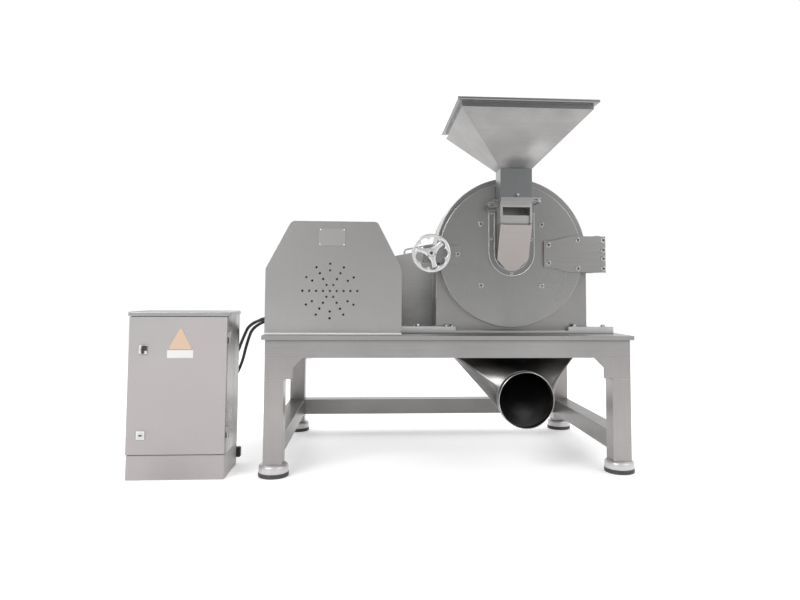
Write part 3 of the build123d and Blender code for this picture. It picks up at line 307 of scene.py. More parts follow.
steel_grey = (0.350, 0.343, 0.339)
steel_along = surface(
    "steel_along", steel_grey, 0.34, 1.0, (4, 200, 240), 0.10, 2.6, 0.65,
    relief=0.00008, edge=0.002, painted_shade=0.012,
)
# The aprons' finish paints a deeper shade, a painted shadow line under the top's plate.
steel_apron = surface(
    "steel_apron", steel_grey, 0.34, 1.0, (4, 200, 240), 0.10, 2.6, 0.65,
    relief=0.00008, edge=0.002, painted_shade=0.03,
)
steel_upright = surface(
    "steel_upright", (0.350, 0.335, 0.330), 0.34, 1.0, (220, 220, 4), 0.06, 2.6, 0.65,
    relief=0.00004, edge=0.003,
)
steel_across = surface(
    "steel_across", (0.24, 0.235, 0.23), 0.34, 1.0, (220, 4, 220), 0.10, 2.6, 0.65,
    relief=0.00008, edge=0.003,
)
dress(steel_along, "table_top")
dress(steel_apron, "aprons")
dress(steel_upright, "legs")
dress(steel_across, "rails")


def tree_for(name, **sizes):
    """A Geometry Nodes tree with a mesh, a material and named sizes as its inputs."""
    tree = bpy.data.node_groups.new(name, "GeometryNodeTree")
    for socket, kind in (("Mesh", "NodeSocketGeometry"), ("Material", "NodeSocketMaterial")):
        tree.interface.new_socket(socket, in_out="INPUT", socket_type=kind)
    for socket, value in sizes.items():
        kind = "NodeSocketVector" if isinstance(value, tuple) else "NodeSocketFloat"
        tree.interface.new_socket(socket, in_out="INPUT", socket_type=kind).default_value = value
    tree.interface.new_socket("Mesh", in_out="OUTPUT", socket_type="NodeSocketGeometry")
    return tree, put(tree, "NodeGroupInput").outputs


def close_tree(tree, given, built):
    """Ends a tree: its instances become real and take the material."""
    real = put(tree, "GeometryNodeRealizeInstances", {0: built})
    coated = put(tree, "GeometryNodeSetMaterial", {0: real, "Material": given["Material"]})
    put(tree, "NodeGroupOutput", {0: coated})


def grown(name, tree, points, material, edges=(), sharp=35, **sizes):
    """The plain mesh that a tree grows on given points or on lines between them."""
    seed = bpy.data.meshes.new(name)
    seed.from_pydata([tuple(point) for point in points], edges, [])
    piece = bpy.data.objects.new(name, seed)
    bpy.context.scene.collection.objects.link(piece)
    grower = piece.modifiers.new("tree", "NODES")
    grower.node_group = tree
    feeds = {"Material": material, **sizes}
    for item in tree.interface.items_tree:
        if item.in_out == "INPUT" and item.name in feeds:
            grower[item.identifier] = feeds[item.name]
    depsgraph = bpy.context.evaluated_depsgraph_get()
    mesh = bpy.data.meshes.new_from_object(piece.evaluated_get(depsgraph))
    piece.modifiers.clear()
    piece.data = mesh
    mesh.shade_smooth()
    mesh.set_sharp_from_angle(angle=math.radians(sharp))
    return piece


def reckon(tree, kind, *feeds):
    """One arithmetic node on numbers or sockets."""
    return put(tree, "ShaderNodeMath", dict(enumerate(feeds)), operation=kind).outputs[0]


def share(tree, socket, factor):
    """A size as a fixed share of another."""
    return reckon(tree, "MULTIPLY", socket, factor)


# A weld bead: a thin tube along its line that swells at each ripple
weld_tree, given = tree_for("weld_bead", Width=0.003, Ripple=0.0025)
path = put(weld_tree, "GeometryNodeMeshToCurve", {0: given["Mesh"]})
step = share(weld_tree, given["Ripple"], 0.25)
path = put(weld_tree, "GeometryNodeResampleCurve", {0: path, "Length": step}, mode="LENGTH")
along = put(weld_tree, "GeometryNodeSplineParameter").outputs["Length"]
angle = share(weld_tree, reckon(weld_tree, "DIVIDE", along, given["Ripple"]), math.tau)
swell = reckon(weld_tree, "MULTIPLY_ADD", reckon(weld_tree, "SINE", angle), 0.14, 0.86)
half = share(weld_tree, given["Width"], 0.5)
section = put(weld_tree, "GeometryNodeCurvePrimitiveCircle", {"Resolution": 6, "Radius": half})
bead = put(
    weld_tree, "GeometryNodeCurveToMesh",
    {0: path, "Profile Curve": section, "Scale": swell, "Fill Caps": True},
)
close_tree(weld_tree, given, bead)


def welded(name, runs, body, material, width=0.003, ripple=0.0025):
    """Weld beads along runs of points."""
    points, edges = [], []
    for run in runs:
        edges += [(len(points) + index, len(points) + index + 1) for index in range(len(run) - 1)]
        points += run
    bead = grown(name, weld_tree, points, material, edges, sharp=80, Width=width, Ripple=ripple)
    finished(bead, body, "stainless_brushed")


weld_steel = surface(
    "weld_steel", (0.46, 0.45, 0.44), 0.3, 1.0, (200, 200, 200), 0.16, relief=0.0001, edge=0.0004
)
legs_low, legs_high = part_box("legs")
tube_side = 0.080
gusset_low, gusset_top = 0.036, 0.079
seam_z = 0.402
seams = []
for low_x in (legs_low.x, legs_high.x - tube_side):
    for low_y in (legs_low.y, legs_high.y - tube_side):
        corners = [(low_x, low_y), (low_x + tube_side, low_y), (low_x + tube_side, low_y + tube_side)]
        corners += [(low_x, low_y + tube_side), (low_x, low_y)]
        seams.append([(x, y, seam_z) for x, y in corners])
        seams.append([(x, y, legs_high.z) for x, y in corners])
        inner_x, away = (low_x + tube_side, 1) if low_x == legs_low.x else (low_x, -1)
        seams.append([(inner_x, low_y, seam_z), (inner_x + away * gusset_low, low_y, seam_z)])
        seams.append([(inner_x, low_y, legs_high.z), (inner_x + away * gusset_top, low_y, legs_high.z)])
welded("table_welds", seams, "frame", weld_steel, width=0.0022)

# ---- Levelling feet
# Each leg ends in a pressed grey cap over a thick pad of moulded rubber with a ribbed skirt. The cap
# is pushed over the tube's end and holds the pad under it.
cap_low, cap_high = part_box("foot_caps")
pad_low, pad_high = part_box("foot_pads")
foot_radius = 0.064
rise = cap_high.z - cap_low.z
cap_outline = [
    (0, 0), (0, 0.0615), (0.002, 0.062), (rise - 0.012, 0.062), (rise - 0.006, 0.0605),
    (rise - 0.0015, 0.0555), (rise, 0.050), (rise, 0),
]
skirt = [(0, 0), (0, 0.060), (0.0015, 0.063)]
for rib in range(3):
    low = 0.003 + 0.0045 * rib
    skirt += [(low, 0.064), (low + 0.0018, 0.064), (low + 0.0024, 0.0628), (low + 0.0038, 0.0628)]
skirt += [(0.018, 0.0632), (0.018, 0)]
caps, pads = bmesh.new(), bmesh.new()
for x in (pad_low.x + foot_radius, pad_high.x - foot_radius):
    for y in (pad_low.y + foot_radius, pad_high.y - foot_radius):
        turn(caps, cap_outline, (x, y, cap_low.z), (0, 0, 1), steps=64)
        turn(pads, skirt, (x, y, 0), (0, 0, 1), steps=64)
cap_alloy = surface("cap_alloy", (0.62, 0.605, 0.61), 0.42, 0.6, (160, 160, 160), 0.06)
pad_rubber = surface("pad_rubber", (0.068, 0.067, 0.066), 0.45, lines=(220, 220, 220), relief=0.0002)
finished(made("levelling_caps", caps, cap_alloy), "frame", "zinc_cap", "foot_caps")
finished(made("levelling_pads", pads, pad_rubber), "frame", "rubber_black", "foot_pads")

# ---- Discharge chute
# A folded and rolled sheet chute draws the casing's opening down to a short round collar at the
# front. The collar's mouth is rolled over, and its joint to the chute is welded all round.


def recoloured(wires, amount, tone):
    """Mixes another tone into the colour of a finish."""
    shader = next(node for node in wires.nodes if node.type == "BSDF_PRINCIPLED")
    under = shader.inputs["Base Color"].links[0].from_socket
    mixed = put(wires, "ShaderNodeMix", {0: amount, 6: under, 7: (*tone, 1)}, data_type="RGBA")
    wires.links.new(mixed.outputs[2], shader.inputs["Base Color"])


def clouded(material, middle, reach, depth, tone):
    """Darkens or lightens a finish softly round a point, up to a depth from 0 to 1."""
    wires = material.node_tree
    place = put(wires, "ShaderNodeTexCoord").outputs["Object"]
    away = put(wires, "ShaderNodeVectorMath", {0: place, 1: middle}, operation="DISTANCE").outputs["Value"]
    drift = put(wires, "ShaderNodeTexNoise", {"Vector": place, "Scale": 9.0, "Detail": 3.0})
    away = reckon(wires, "MULTIPLY_ADD", drift, reach, away)
    near = put(
        wires, "ShaderNodeMapRange", {0: away, 1: reach * 0.6, 2: reach * 1.6, 3: depth, 4: 0.0},
        interpolation_type="SMOOTHSTEP",
    )
    recoloured(wires, near, tone)


def arc(x, y, z, radius, start, stop, steps):
    """Points along part of a circle that faces the front, between two angles."""
    angles = (start + (stop - start) * step / steps for step in range(steps + 1))
    return [(x + radius * math.cos(angle), y, z + radius * math.sin(angle)) for angle in angles]


sheet_grey = (0.19, 0.186, 0.184)
chute_steel = surface(
    "chute_steel", sheet_grey, 0.36, 1.0, (8, 60, 60), 0.18, 3.5, 0.7, relief=0.0001, edge=0.002
)
pipe_steel = surface("pipe_steel", sheet_grey, 0.36, 1.0, (60, 8, 60), 0.18, 3.5, 0.7, edge=0.002)
collar_low, collar_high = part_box("outlet_pipe")
mouth = (collar_low + collar_high) / 2
collar_radius = (collar_high.x - collar_low.x) / 2
# Painted shade darkens the chute left of the collar, and a painted reflection lightens it low down behind
# the collar.
clouded(chute_steel, (mouth.x - 0.130, collar_high.y, mouth.z - 0.010), 0.060, 0.8, (0.09, 0.088, 0.088))
clouded(chute_steel, (mouth.x, collar_high.y + 0.090, mouth.z - 0.100), 0.070, 0.9, (0.75, 0.78, 0.80))
dress(chute_steel, "discharge_chute")
dress(pipe_steel, "outlet_pipe")
rolled = bmesh.new()
lip = [(0.006, 0.1170), (0.0005, 0.1170), (-0.0012, 0.1178), (-0.0019, 0.1190), (-0.0012, 0.1202)]
lip += [(0.0010, 0.1206), (0.006, 0.1203)]
turn(rolled, [*lip, lip[0]], (mouth.x, collar_low.y, mouth.z), (0, 1, 0), steps=96)
bmesh.ops.remove_doubles(rolled, verts=rolled.verts, dist=1e-6)
finished(made("collar_lip", rolled, weld_steel), "frame", "stainless_brushed")
collar_seam = arc(mouth.x, collar_high.y, mouth.z, collar_radius, 0, math.tau, 120)
welded("collar_weld", [collar_seam], "frame", weld_steel, width=0.003)

# ---- Base plate and mill casing
# The arched casing is rolled and welded from 8 mm plate and stands on a thick base plate, which two
# clamp bars and hex bolts hold down on the table.
base_steel = surface(
    "base_steel", (0.66, 0.66, 0.66), 0.30, 1.0, (4, 200, 240), 0.08,
    relief=0.00008, edge=0.002, painted_shade=0.012,
)
casing_steel = surface(
    "casing_steel", (0.34, 0.335, 0.33), 0.3, 1.0, (5, 160, 160), 0.08, 2.2, 0.7, relief=0.00006, edge=0.003
)
# The skin's steel is a lighter copy of the casing's: painted light that lifts its shaded sides.
skin_steel = surface(
    "skin_steel", (0.55, 0.545, 0.54), 0.36, 1.0, (5, 160, 160), 0.08, 2.2, 0.7, relief=0.00006, edge=0.003
)
dress(base_steel, "mill_base")
dress(casing_steel, "casing_ring", "back_plate")
dress(skin_steel, "casing_skin")
casing_low, casing_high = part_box("casing_skin")
base_low, base_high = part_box("mill_base")
door_low, door_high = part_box("door_plate")
axis_x = (door_low.x + door_high.x) / 2
axis_z = (door_low.z + door_high.z) / 2
arch_x = (casing_low.x + casing_high.x) / 2
casing_radius = (casing_high.x - casing_low.x) / 2
arch_z = casing_high.z - casing_radius
base_top = casing_low.z
casing_wall = 0.008


def arch(y):
    """Points up the casing's right side, over its half-round top and down its left side."""
    over = arc(arch_x, y, arch_z, casing_radius, 0, math.pi, 72)
    return [(casing_high.x, y, base_top), *over, (casing_low.x, y, base_top)]


casing_seams = [arch(casing_low.y), arch(casing_high.y)]
ends = casing_low.y - casing_wall, casing_high.y + casing_wall
casing_seams += [[(casing_low.x, y, base_top), (casing_high.x, y, base_top)] for y in ends]
casing_seams += [[(x, y, base_top) for y in ends] for x in (casing_low.x, casing_high.x)]
welded("casing_welds", casing_seams, "frame", weld_steel, width=0.004)


def raised(tree, shape, height):
    """A shape moved up its own axis."""
    return put(
        tree, "GeometryNodeTransform",
        {0: shape, "Translation": put(tree, "ShaderNodeCombineXYZ", {2: height})},
    ).outputs[0]


def drum(tree, size, sides, wide, deep, lift=0.0, tip=None):
    """A cylinder, or a cone with a flat tip, whose radii, depth and rise are shares of one size."""
    feeds = {"Vertices": sides, "Depth": share(tree, size, deep)}
    if tip is None:
        kind = "GeometryNodeMeshCylinder"
        feeds["Radius"] = share(tree, size, wide)
    else:
        kind = "GeometryNodeMeshCone"
        feeds["Radius Bottom"] = share(tree, size, wide)
        feeds["Radius Top"] = share(tree, size, tip)
    return raised(tree, put(tree, kind, feeds).outputs[0], share(tree, size, lift))


def joined(tree, *shapes):
    """Several shapes as one."""
    whole = put(tree, "GeometryNodeJoinGeometry")
    for shape in shapes:
        tree.links.new(shape, whole.inputs[0])
    return whole.outputs[0]


def planted(tree, given, piece):
    """Ends a tree that sets one piece, turned alike, on each point of its mesh."""
    copies = put(
        tree, "GeometryNodeInstanceOnPoints",
        {0: given["Mesh"], "Instance": piece, "Rotation": given["Turn"]},
    )
    close_tree(tree, given, copies)


# A hex bolt on its washer, its head chamfered into a disc
bolt_tree, given = tree_for("hex_bolt", Radius=0.011, Turn=(0.0, 0.0, 0.0))
size = given["Radius"]
washer = drum(bolt_tree, size, 32, 1.25, 0.18)
head = drum(bolt_tree, size, 6, 1.0, 0.72, 0.45)
crown = drum(bolt_tree, size, 32, 0.84, 0.08, 0.81, tip=0.74)
planted(bolt_tree, given, joined(bolt_tree, washer, head, crown))

# Its painted shade darkens the screws' sockets and the corners under the heads.
bolt_steel = surface(
    "bolt_steel", (0.72, 0.72, 0.72), 0.2, 1.0, (250, 250, 250), 0.10,
    relief=0.0001, edge=0.0008, painted_shade=0.014,
)
washer_half = 0.001
bar_y, bar_top = base_low.y + 0.011, base_high.z + washer_half
left_x, right_x = base_low.x + 0.080, base_high.x - 0.045
pedestal_y, pedestal_top, pedestal_half = 0.1255, 0.606 + washer_half, 0.090
base_bolts = [(x, bar_y, bar_top) for x in (left_x, base_high.x - 0.180, right_x)]
base_bolts += [(x, base_high.y - 0.020, base_top + washer_half) for x in (left_x, right_x)]
base_bolts += [(axis_x + side * pedestal_half, pedestal_y, pedestal_top) for side in (-1, 1)]
bolted = grown("base_bolts", bolt_tree, base_bolts, bolt_steel, Radius=0.0105)
finished(bolted, "frame", "fastener_steel", "frame_bolts")
small_bolts = [(base_low.x + x, bar_y, bar_top) for x in (0.208, 0.234)]
finished(grown("bar_bolts", bolt_tree, small_bolts, bolt_steel, Radius=0.007), "frame", "fastener_steel")

# ---- Ring screen, bearings and housing
# Inside the casing stands the slotted ring screen. Behind the back plate a cast-iron housing, painted
# blue-grey, carries the shaft's two bearings, and six hex bolts hold its flange.
screen_steel = surface("screen_steel", (0.34, 0.34, 0.34), 0.35, 1.0, (200, 6, 200), 0.14)
housing_iron = surface(
    "housing_iron", (0.10, 0.13, 0.15), 0.5, 0.0, (140, 140, 140), 0.14, relief=0.0006, painted_shade=0.02
)
bearing_steel = surface("bearing_steel", (0.5, 0.5, 0.5), 0.22, 1.0, (300, 4, 300), 0.1)
dress(screen_steel, "ring_screen")
dress(housing_iron, "bearing_housing")
dress(bearing_steel, "bearings")
flange_back, bolt_circle = 0.0115, 0.0985
first, last = math.radians(30), math.radians(330)
housing_bolts = arc(axis_x, flange_back, axis_z, bolt_circle, first, last, 5)
fixed = grown(
    "housing_bolts", bolt_tree, housing_bolts, bolt_steel, Radius=0.010, Turn=(-math.pi / 2, 0.0, 0.0)
)
finished(fixed, "frame", "fastener_steel")

# ---- Rotor
# A turned shaft carries two discs and four collared pins, on which the flat hammers swing freely. The
# hammers are cut from flat bar, and the discs, the pins and the door's liner are turned too.
turned_steel = surface("turned_steel", (0.40, 0.39, 0.38), 0.28, 1.0, (300, 8, 300), 0.16)
hammer_steel = surface("hammer_steel", (0.26, 0.245, 0.235), 0.38, 1.0, (60, 60, 60), 0.3, relief=0.0004)
dress(turned_steel, "rotor_shaft", "rotor_discs", "hammer_pins", "motor_shaft", "door_liner")
dress(hammer_steel, "hammer_a", "hammer_b", "hammer_c", "hammer_d")

# ---- Belt drive
# Three V-belts of moulded rubber run from the motor's pulley up to the mill's. Both pulleys are cast
# iron with turned grooves.
pulley_iron = surface("pulley_iron", (0.16, 0.16, 0.165), 0.4, 1.0, (300, 8, 300), 0.2, painted_shade=0.01)
belt_rubber = surface("belt_rubber", (0.03, 0.03, 0.03), 0.6, lines=(200, 60, 200))
dress(pulley_iron, "mill_pulley", "motor_pulley")
dress(belt_rubber, "v_belts")

# ---- Motor
# The motor's cast housing and the rails that it is bolted to are painted dark blue. It slides on the
# rails to tighten the belts.
motor_paint = surface(
    "motor_paint", (0.03, 0.05, 0.075), 0.42, lines=(120, 120, 120), relief=0.0003, painted_shade=0.02
)
dress(motor_paint, "motor_body", "motor_rails")

# ---- Motor cover
# A welded sheet hood over the motor, with a folded foot along the table, a star of vent holes that
# belongs to its own shape, and a blank rating plate with a raised border on four rivets.
cover_steel = surface(
    "cover_steel", (0.415, 0.41, 0.405), 0.36, 1.0, (260, 260, 5), 0.07, 1.9, 0.85,
    relief=0.00004, edge=0.002,
)
dress(cover_steel, "motor_cover")
foot_steel = surface("foot_steel", (0.86, 0.855, 0.85), 0.4, 0.4, (5, 260, 260), 0.06, relief=0.00005)
cover_low, cover_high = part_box("motor_cover")
table_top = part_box("table_top")[1].z
foot_reach, foot_rise = 0.012, 0.009
foot = bmesh.new()
slab(
    foot, (cover_low.x, cover_low.y - foot_reach, table_top),
    (cover_high.x, cover_low.y, table_top + foot_rise), 0.0015,
)
finished(made("cover_foot", foot, foot_steel), "frame", "stainless_brushed")

plate_metal = surface("plate_metal", (0.50, 0.495, 0.49), 0.34, 1.0, (8, 300, 300), 0.04, edge=0.001)
blank_low, blank_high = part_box("rating_blank")
border, border_rise = 0.0022, 0.0008
face_y = blank_low.y
rating = bmesh.new()
slab(rating, blank_low, blank_high, 0.0003, 1)
for low_x, high_x, low_z, high_z in (
    (blank_low.x, blank_high.x, blank_high.z - border, blank_high.z),
    (blank_low.x, blank_high.x, blank_low.z, blank_low.z + border),
    (blank_low.x, blank_low.x + border, blank_low.z, blank_high.z),
    (blank_high.x - border, blank_high.x, blank_low.z, blank_high.z),
):
    slab(rating, (low_x, face_y - border_rise, low_z), (high_x, face_y, high_z), 0.0003, 1)
finished(made("rating_plate", rating, plate_metal), "frame", "blank_plate", "rating_blank")

# A dome-headed rivet
rivet_tree, given = tree_for("dome_rivet", Radius=0.003, Turn=(0.0, 0.0, 0.0))
size = given["Radius"]
dome = put(rivet_tree, "GeometryNodeMeshUVSphere", {"Segments": 24, "Rings": 12, "Radius": size})
flat = put(rivet_tree, "GeometryNodeTransform", {0: dome, "Scale": (1, 1, 0.55)}).outputs[0]
collar = drum(rivet_tree, size, 24, 1.25, 0.2)
planted(rivet_tree, given, joined(rivet_tree, flat, collar))
rivet_steel = surface("rivet_steel", (0.85, 0.85, 0.85), 0.14, 1.0, (200, 200, 200), 0.05, relief=0.0)
rivet_inset = 0.005
rivet_places = [
    (x, face_y - border_rise / 2, z)
    for x in (blank_low.x + rivet_inset, blank_high.x - rivet_inset)
    for z in (blank_low.z + rivet_inset, blank_high.z - rivet_inset)
]
facing_front = (math.pi / 2, 0.0, 0.0)
riveted = grown("plate_rivets", rivet_tree, rivet_places, rivet_steel, Radius=0.0023, Turn=facing_front)
finished(riveted, "frame", "fastener_steel")

# ---- Belt guard
# A tall folded and welded sheet box with a sloping top, closed towards the mill by a cover plate. It is
# lifted off by a bent bar on its slope. Its light tone, and a painted highlight on its lower front edge,
# stand in for light from the floor on its shaded front.
guard_steel = surface("guard_steel", (0.62, 0.615, 0.61), 0.42, 1.0, (5, 260, 260), 0.08, 2.0, 0.6)
guard_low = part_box("belt_guard")[0]
painted_highlight_x = 0.200
# Painted highlight: the finish is lightened round a point on the guard's lower front edge.
clouded(guard_steel, (painted_highlight_x, guard_low.y, guard_low.z), 0.17, 0.9, (0.98, 0.975, 0.97))
dress(guard_steel, "belt_guard", "guard_cover")

# ---- Door
# A thick round plate on a rubber seal. Cap screws with a hexagon socket hold the liner, the hinge
# strap, the feed box's flange and the clamp lug to it.
door_steel = surface(
    "door_steel", (0.345, 0.342, 0.338), 0.30, 1.0, (120, 120, 14), 0.12, 2.2, 0.9,
    relief=0.00004, edge=0.004,
)
seal_rubber = surface("seal_rubber", (0.03, 0.03, 0.03), 0.5)
dress(door_steel, "door_plate")
dress(seal_rubber, "door_seal")

# A cap screw on its washer, its socket cut into the head
screw_tree, given = tree_for("cap_screw", Radius=0.0105, Turn=(0.0, 0.0, 0.0))
size = given["Radius"]
washer = drum(screw_tree, size, 40, 1.18, 0.16)
head = drum(screw_tree, size, 48, 1.0, 0.5, 0.30)
crown = drum(screw_tree, size, 48, 1.0, 0.14, 0.56, tip=0.88)
socket = drum(screw_tree, size, 6, 0.62, 1.0, 0.60)
cut_head = put(
    screw_tree, "GeometryNodeMeshBoolean", {0: joined(screw_tree, head, crown), 1: socket},
    operation="DIFFERENCE",
)
planted(screw_tree, given, joined(screw_tree, washer, cut_head.outputs[0]))

strap_low, strap_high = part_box("hinge_strap")
lug_low, lug_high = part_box("clamp_lug")
strap_y, strap_z = strap_low.y, (strap_low.z + strap_high.z) / 2
liner_half, strap_half = 0.138, 0.064
large_screws = [
    (axis_x + a * liner_half, door_low.y, axis_z + b * liner_half) for a in (-1, 1) for b in (-1, 1)
]
large_screws += [(strap_low.x + 0.020, strap_y, strap_z + z) for z in (-0.041, 0.041)]
large_screws += [(strap_low.x + 0.155, strap_y, strap_z + z) for z in (-strap_half, strap_half)]
large_screws += [
    (strap_high.x - 0.013, strap_y, strap_z + z) for z in (-strap_half, -0.020, 0.020, strap_half)
]
large_screws += [(lug_high.x - 0.011, lug_low.y, axis_z)]
fixed = grown("door_cap_screws", screw_tree, large_screws, bolt_steel, Radius=0.0105, Turn=facing_front)
finished(fixed, "door", "fastener_steel", "door_screws")
flange_y, flange_half = door_low.y - 0.008, 0.090
small_screws = [
    (axis_x + x, flange_y, axis_z + z) for x in (-flange_half, flange_half) for z in (0.069, 0.187)
]
small_screws += [(axis_x, flange_y, axis_z - 0.085)]
fixed = grown("flange_screws", screw_tree, small_screws, bolt_steel, Radius=0.0055, Turn=facing_front)
finished(fixed, "door", "fastener_steel")

# ---- Hinge strap and clamp
# The strap is sawn from brushed flat bar. The clamp's handwheel is one polished casting: a rim whose
# inner side is scalloped for the fingers, three waisted spokes and a hub on its screw.
strap_steel = surface(
    "strap_steel", (0.345, 0.341, 0.337), 0.32, 1.0, (4, 260, 260), 0.12, relief=0.00015, edge=0.002
)
dress(strap_steel, "hinge_strap", "hinge_bracket", "clamp_lug", "screw_block", "clamp_washer")
wheel_low, wheel_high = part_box("handwheel")

# The handwheel's rim is a sheet rolled round twice, along the rim and round its section. Each spoke is
# a sheet rolled round its own length.
wheel_tree, given = tree_for(
    "handwheel", Radius=0.085, Width=0.027, Thickness=0.016, Scallops=9.0, Bite=0.50,
    Hub=0.012, Sink=0.006, Spoke=0.0105, Flare=0.024, Web=0.0048, Centre=(0.0, 0.0, 0.0),
)
rim_steps, spoke_steps, section_steps = 325, 31, 21
rim = put(wheel_tree, "GeometryNodeMeshGrid", {0: 1.0, 1: 1.0, 2: rim_steps, 3: section_steps})
over = put(wheel_tree, "ShaderNodeSeparateXYZ", {0: rim.outputs["UV Map"]})
around = share(wheel_tree, over.outputs[0], math.tau)
section = share(wheel_tree, over.outputs[1], math.tau)

# Each scallop bites into the rim's width from the inside
wave = reckon(wheel_tree, "MULTIPLY", share(wheel_tree, given["Scallops"], 0.5), around)
scoop = reckon(wheel_tree, "ABSOLUTE", reckon(wheel_tree, "COSINE", wave))
scoop = reckon(wheel_tree, "POWER", scoop, 0.6)
waist = reckon(wheel_tree, "SUBTRACT", 1.0, reckon(wheel_tree, "MULTIPLY", scoop, given["Bite"]))
half_width = reckon(wheel_tree, "MULTIPLY", share(wheel_tree, given["Width"], 0.5), waist)
middle = reckon(wheel_tree, "SUBTRACT", given["Radius"], half_width)
reach = reckon(wheel_tree, "MULTIPLY_ADD", half_width, reckon(wheel_tree, "COSINE", section), middle)

# The section is nearly flat, with rounded edges
swell = reckon(wheel_tree, "SINE", section)
full = reckon(wheel_tree, "POWER", reckon(wheel_tree, "ABSOLUTE", swell), 0.45)
full = reckon(wheel_tree, "MULTIPLY", full, reckon(wheel_tree, "SIGN", swell))
rise = reckon(wheel_tree, "MULTIPLY", share(wheel_tree, given["Thickness"], 0.5), full)
spot = put(
    wheel_tree, "ShaderNodeCombineXYZ",
    {
        0: reckon(wheel_tree, "MULTIPLY", reach, reckon(wheel_tree, "COSINE", around)),
        1: rise,
        2: reckon(wheel_tree, "MULTIPLY", reach, reckon(wheel_tree, "SINE", around)),
    },
)
rim = put(wheel_tree, "GeometryNodeSetPosition", {0: rim.outputs[0], "Position": spot})
rim = put(wheel_tree, "GeometryNodeMergeByDistance", {0: rim}).outputs[0]

# A spoke runs from the hub and sinks into the rim. It is narrowest beyond its middle, from where Flare
# widens it to both ends, and Web is half its thickness.
spoke = put(wheel_tree, "GeometryNodeMeshGrid", {0: 1.0, 1: 1.0, 2: spoke_steps, 3: section_steps})
over = put(wheel_tree, "ShaderNodeSeparateXYZ", {0: spoke.outputs["UV Map"]})
section = share(wheel_tree, over.outputs[1], math.tau)
rim_inside = reckon(wheel_tree, "SUBTRACT", given["Radius"], given["Width"])
spoke_end = reckon(wheel_tree, "ADD", rim_inside, given["Sink"])
length = reckon(wheel_tree, "SUBTRACT", spoke_end, given["Hub"])
along = reckon(wheel_tree, "MULTIPLY_ADD", over.outputs[0], length, given["Hub"])
flare = reckon(wheel_tree, "POWER", reckon(wheel_tree, "SUBTRACT", over.outputs[0], 0.62), 2.0)
wide = reckon(wheel_tree, "MULTIPLY_ADD", flare, given["Flare"], given["Spoke"])
spot = put(
    wheel_tree, "ShaderNodeCombineXYZ",
    {
        0: along,
        1: reckon(wheel_tree, "MULTIPLY", reckon(wheel_tree, "SINE", section), given["Web"]),
        2: reckon(wheel_tree, "MULTIPLY", reckon(wheel_tree, "COSINE", section), wide),
    },
)
spoke = put(wheel_tree, "GeometryNodeSetPosition", {0: spoke.outputs[0], "Position": spot})
spoke = put(wheel_tree, "GeometryNodeMergeByDistance", {0: spoke}).outputs[0]
three = put(wheel_tree, "GeometryNodeMeshLine", {"Count": 3, "Offset": (0, 0, 0)}, mode="OFFSET")
order = put(wheel_tree, "GeometryNodeInputIndex").outputs[0]
lean = reckon(wheel_tree, "MULTIPLY_ADD", order, -math.tau / 3, -math.radians(45))
spokes = put(
    wheel_tree, "GeometryNodeInstanceOnPoints",
    {0: three, "Instance": spoke, "Rotation": put(wheel_tree, "ShaderNodeCombineXYZ", {1: lean})},
).outputs[0]
wheel = put(
    wheel_tree, "GeometryNodeTransform",
    {0: joined(wheel_tree, rim, spokes), "Translation": given["Centre"]},
)
close_tree(wheel_tree, given, wheel)
wheel_polish = surface(
    "wheel_polish", (0.58, 0.58, 0.58), 0.34, 0.6, (60, 60, 60), 0.04, relief=0.0, edge=0.003, painted_shade=0.012
)
wheel_middle = (wheel_low + wheel_high) / 2
wheel_front = wheel_low.y
rim_middle = (wheel_middle.x, wheel_front + 0.008, wheel_middle.z)
casting = grown(
    "wheel_rim", wheel_tree, [(0, 0, 0)], wheel_polish, sharp=70, Centre=rim_middle,
    Radius=(wheel_high.x - wheel_low.x) / 2,
)
finished(casting, "handwheel", "stainless_polished", "handwheel")
hub_outline = [
    (0.010, 0), (0.010, 0.0068), (0.0005, 0.0068), (-0.0008, 0.0078), (-0.0008, 0.0135),
    (0.0008, 0.0155), (0.004, 0.0168), (0.013, 0.0175), (0.016, 0.0200), (0.030, 0.0195),
    (0.052, 0.0165), (0.0588, 0.0165), (0.0590, 0.0080), (0.0590, 0.0078),
]
thread_start, pitch = 0.0595, 0.002
screw_end = wheel_high.y - wheel_front
for ring in range(int((screw_end - thread_start) / pitch)):
    crest = thread_start + pitch * ring
    hub_outline += [(crest, 0.0078), (crest + pitch / 2, 0.0068)]
hub_outline += [(screw_end, 0.0070), (screw_end, 0)]
hub = bmesh.new()
turn(hub, hub_outline, (wheel_middle.x, wheel_front, wheel_middle.z), (0, 1, 0), steps=48)
finished(made("wheel_hub", hub, wheel_polish), "handwheel", "stainless_polished")

# ---- Feed box, gate, throat and hopper
# The feed box is bent from thin sheet and screwed to the door through a flange with a welded edge. The
# gate slides in a frame above it, held by a thumb screw. The hopper's rim is rolled over.


def zoned(material, axis, above, tone):
    """Gives a finish another tone beyond a height or a depth."""
    wires = material.node_tree
    place = put(wires, "ShaderNodeSeparateXYZ", {0: put(wires, "ShaderNodeTexCoord").outputs["Object"]})
    recoloured(wires, reckon(wires, "GREATER_THAN", place.outputs[axis], above), tone)


gate_low, gate_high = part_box("gate_plate")
throat_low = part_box("throat")[0]
frame_top = gate_low.z + 0.020
frame_right = axis_x + 0.070
fold_z = 1.0790
feed_steel = surface(
    "feed_steel", (0.33, 0.305, 0.30), 0.36, 1.0, (5, 200, 200), 0.07, 2.5, 0.7,
    relief=0.00006, painted_shade=0.01,
)
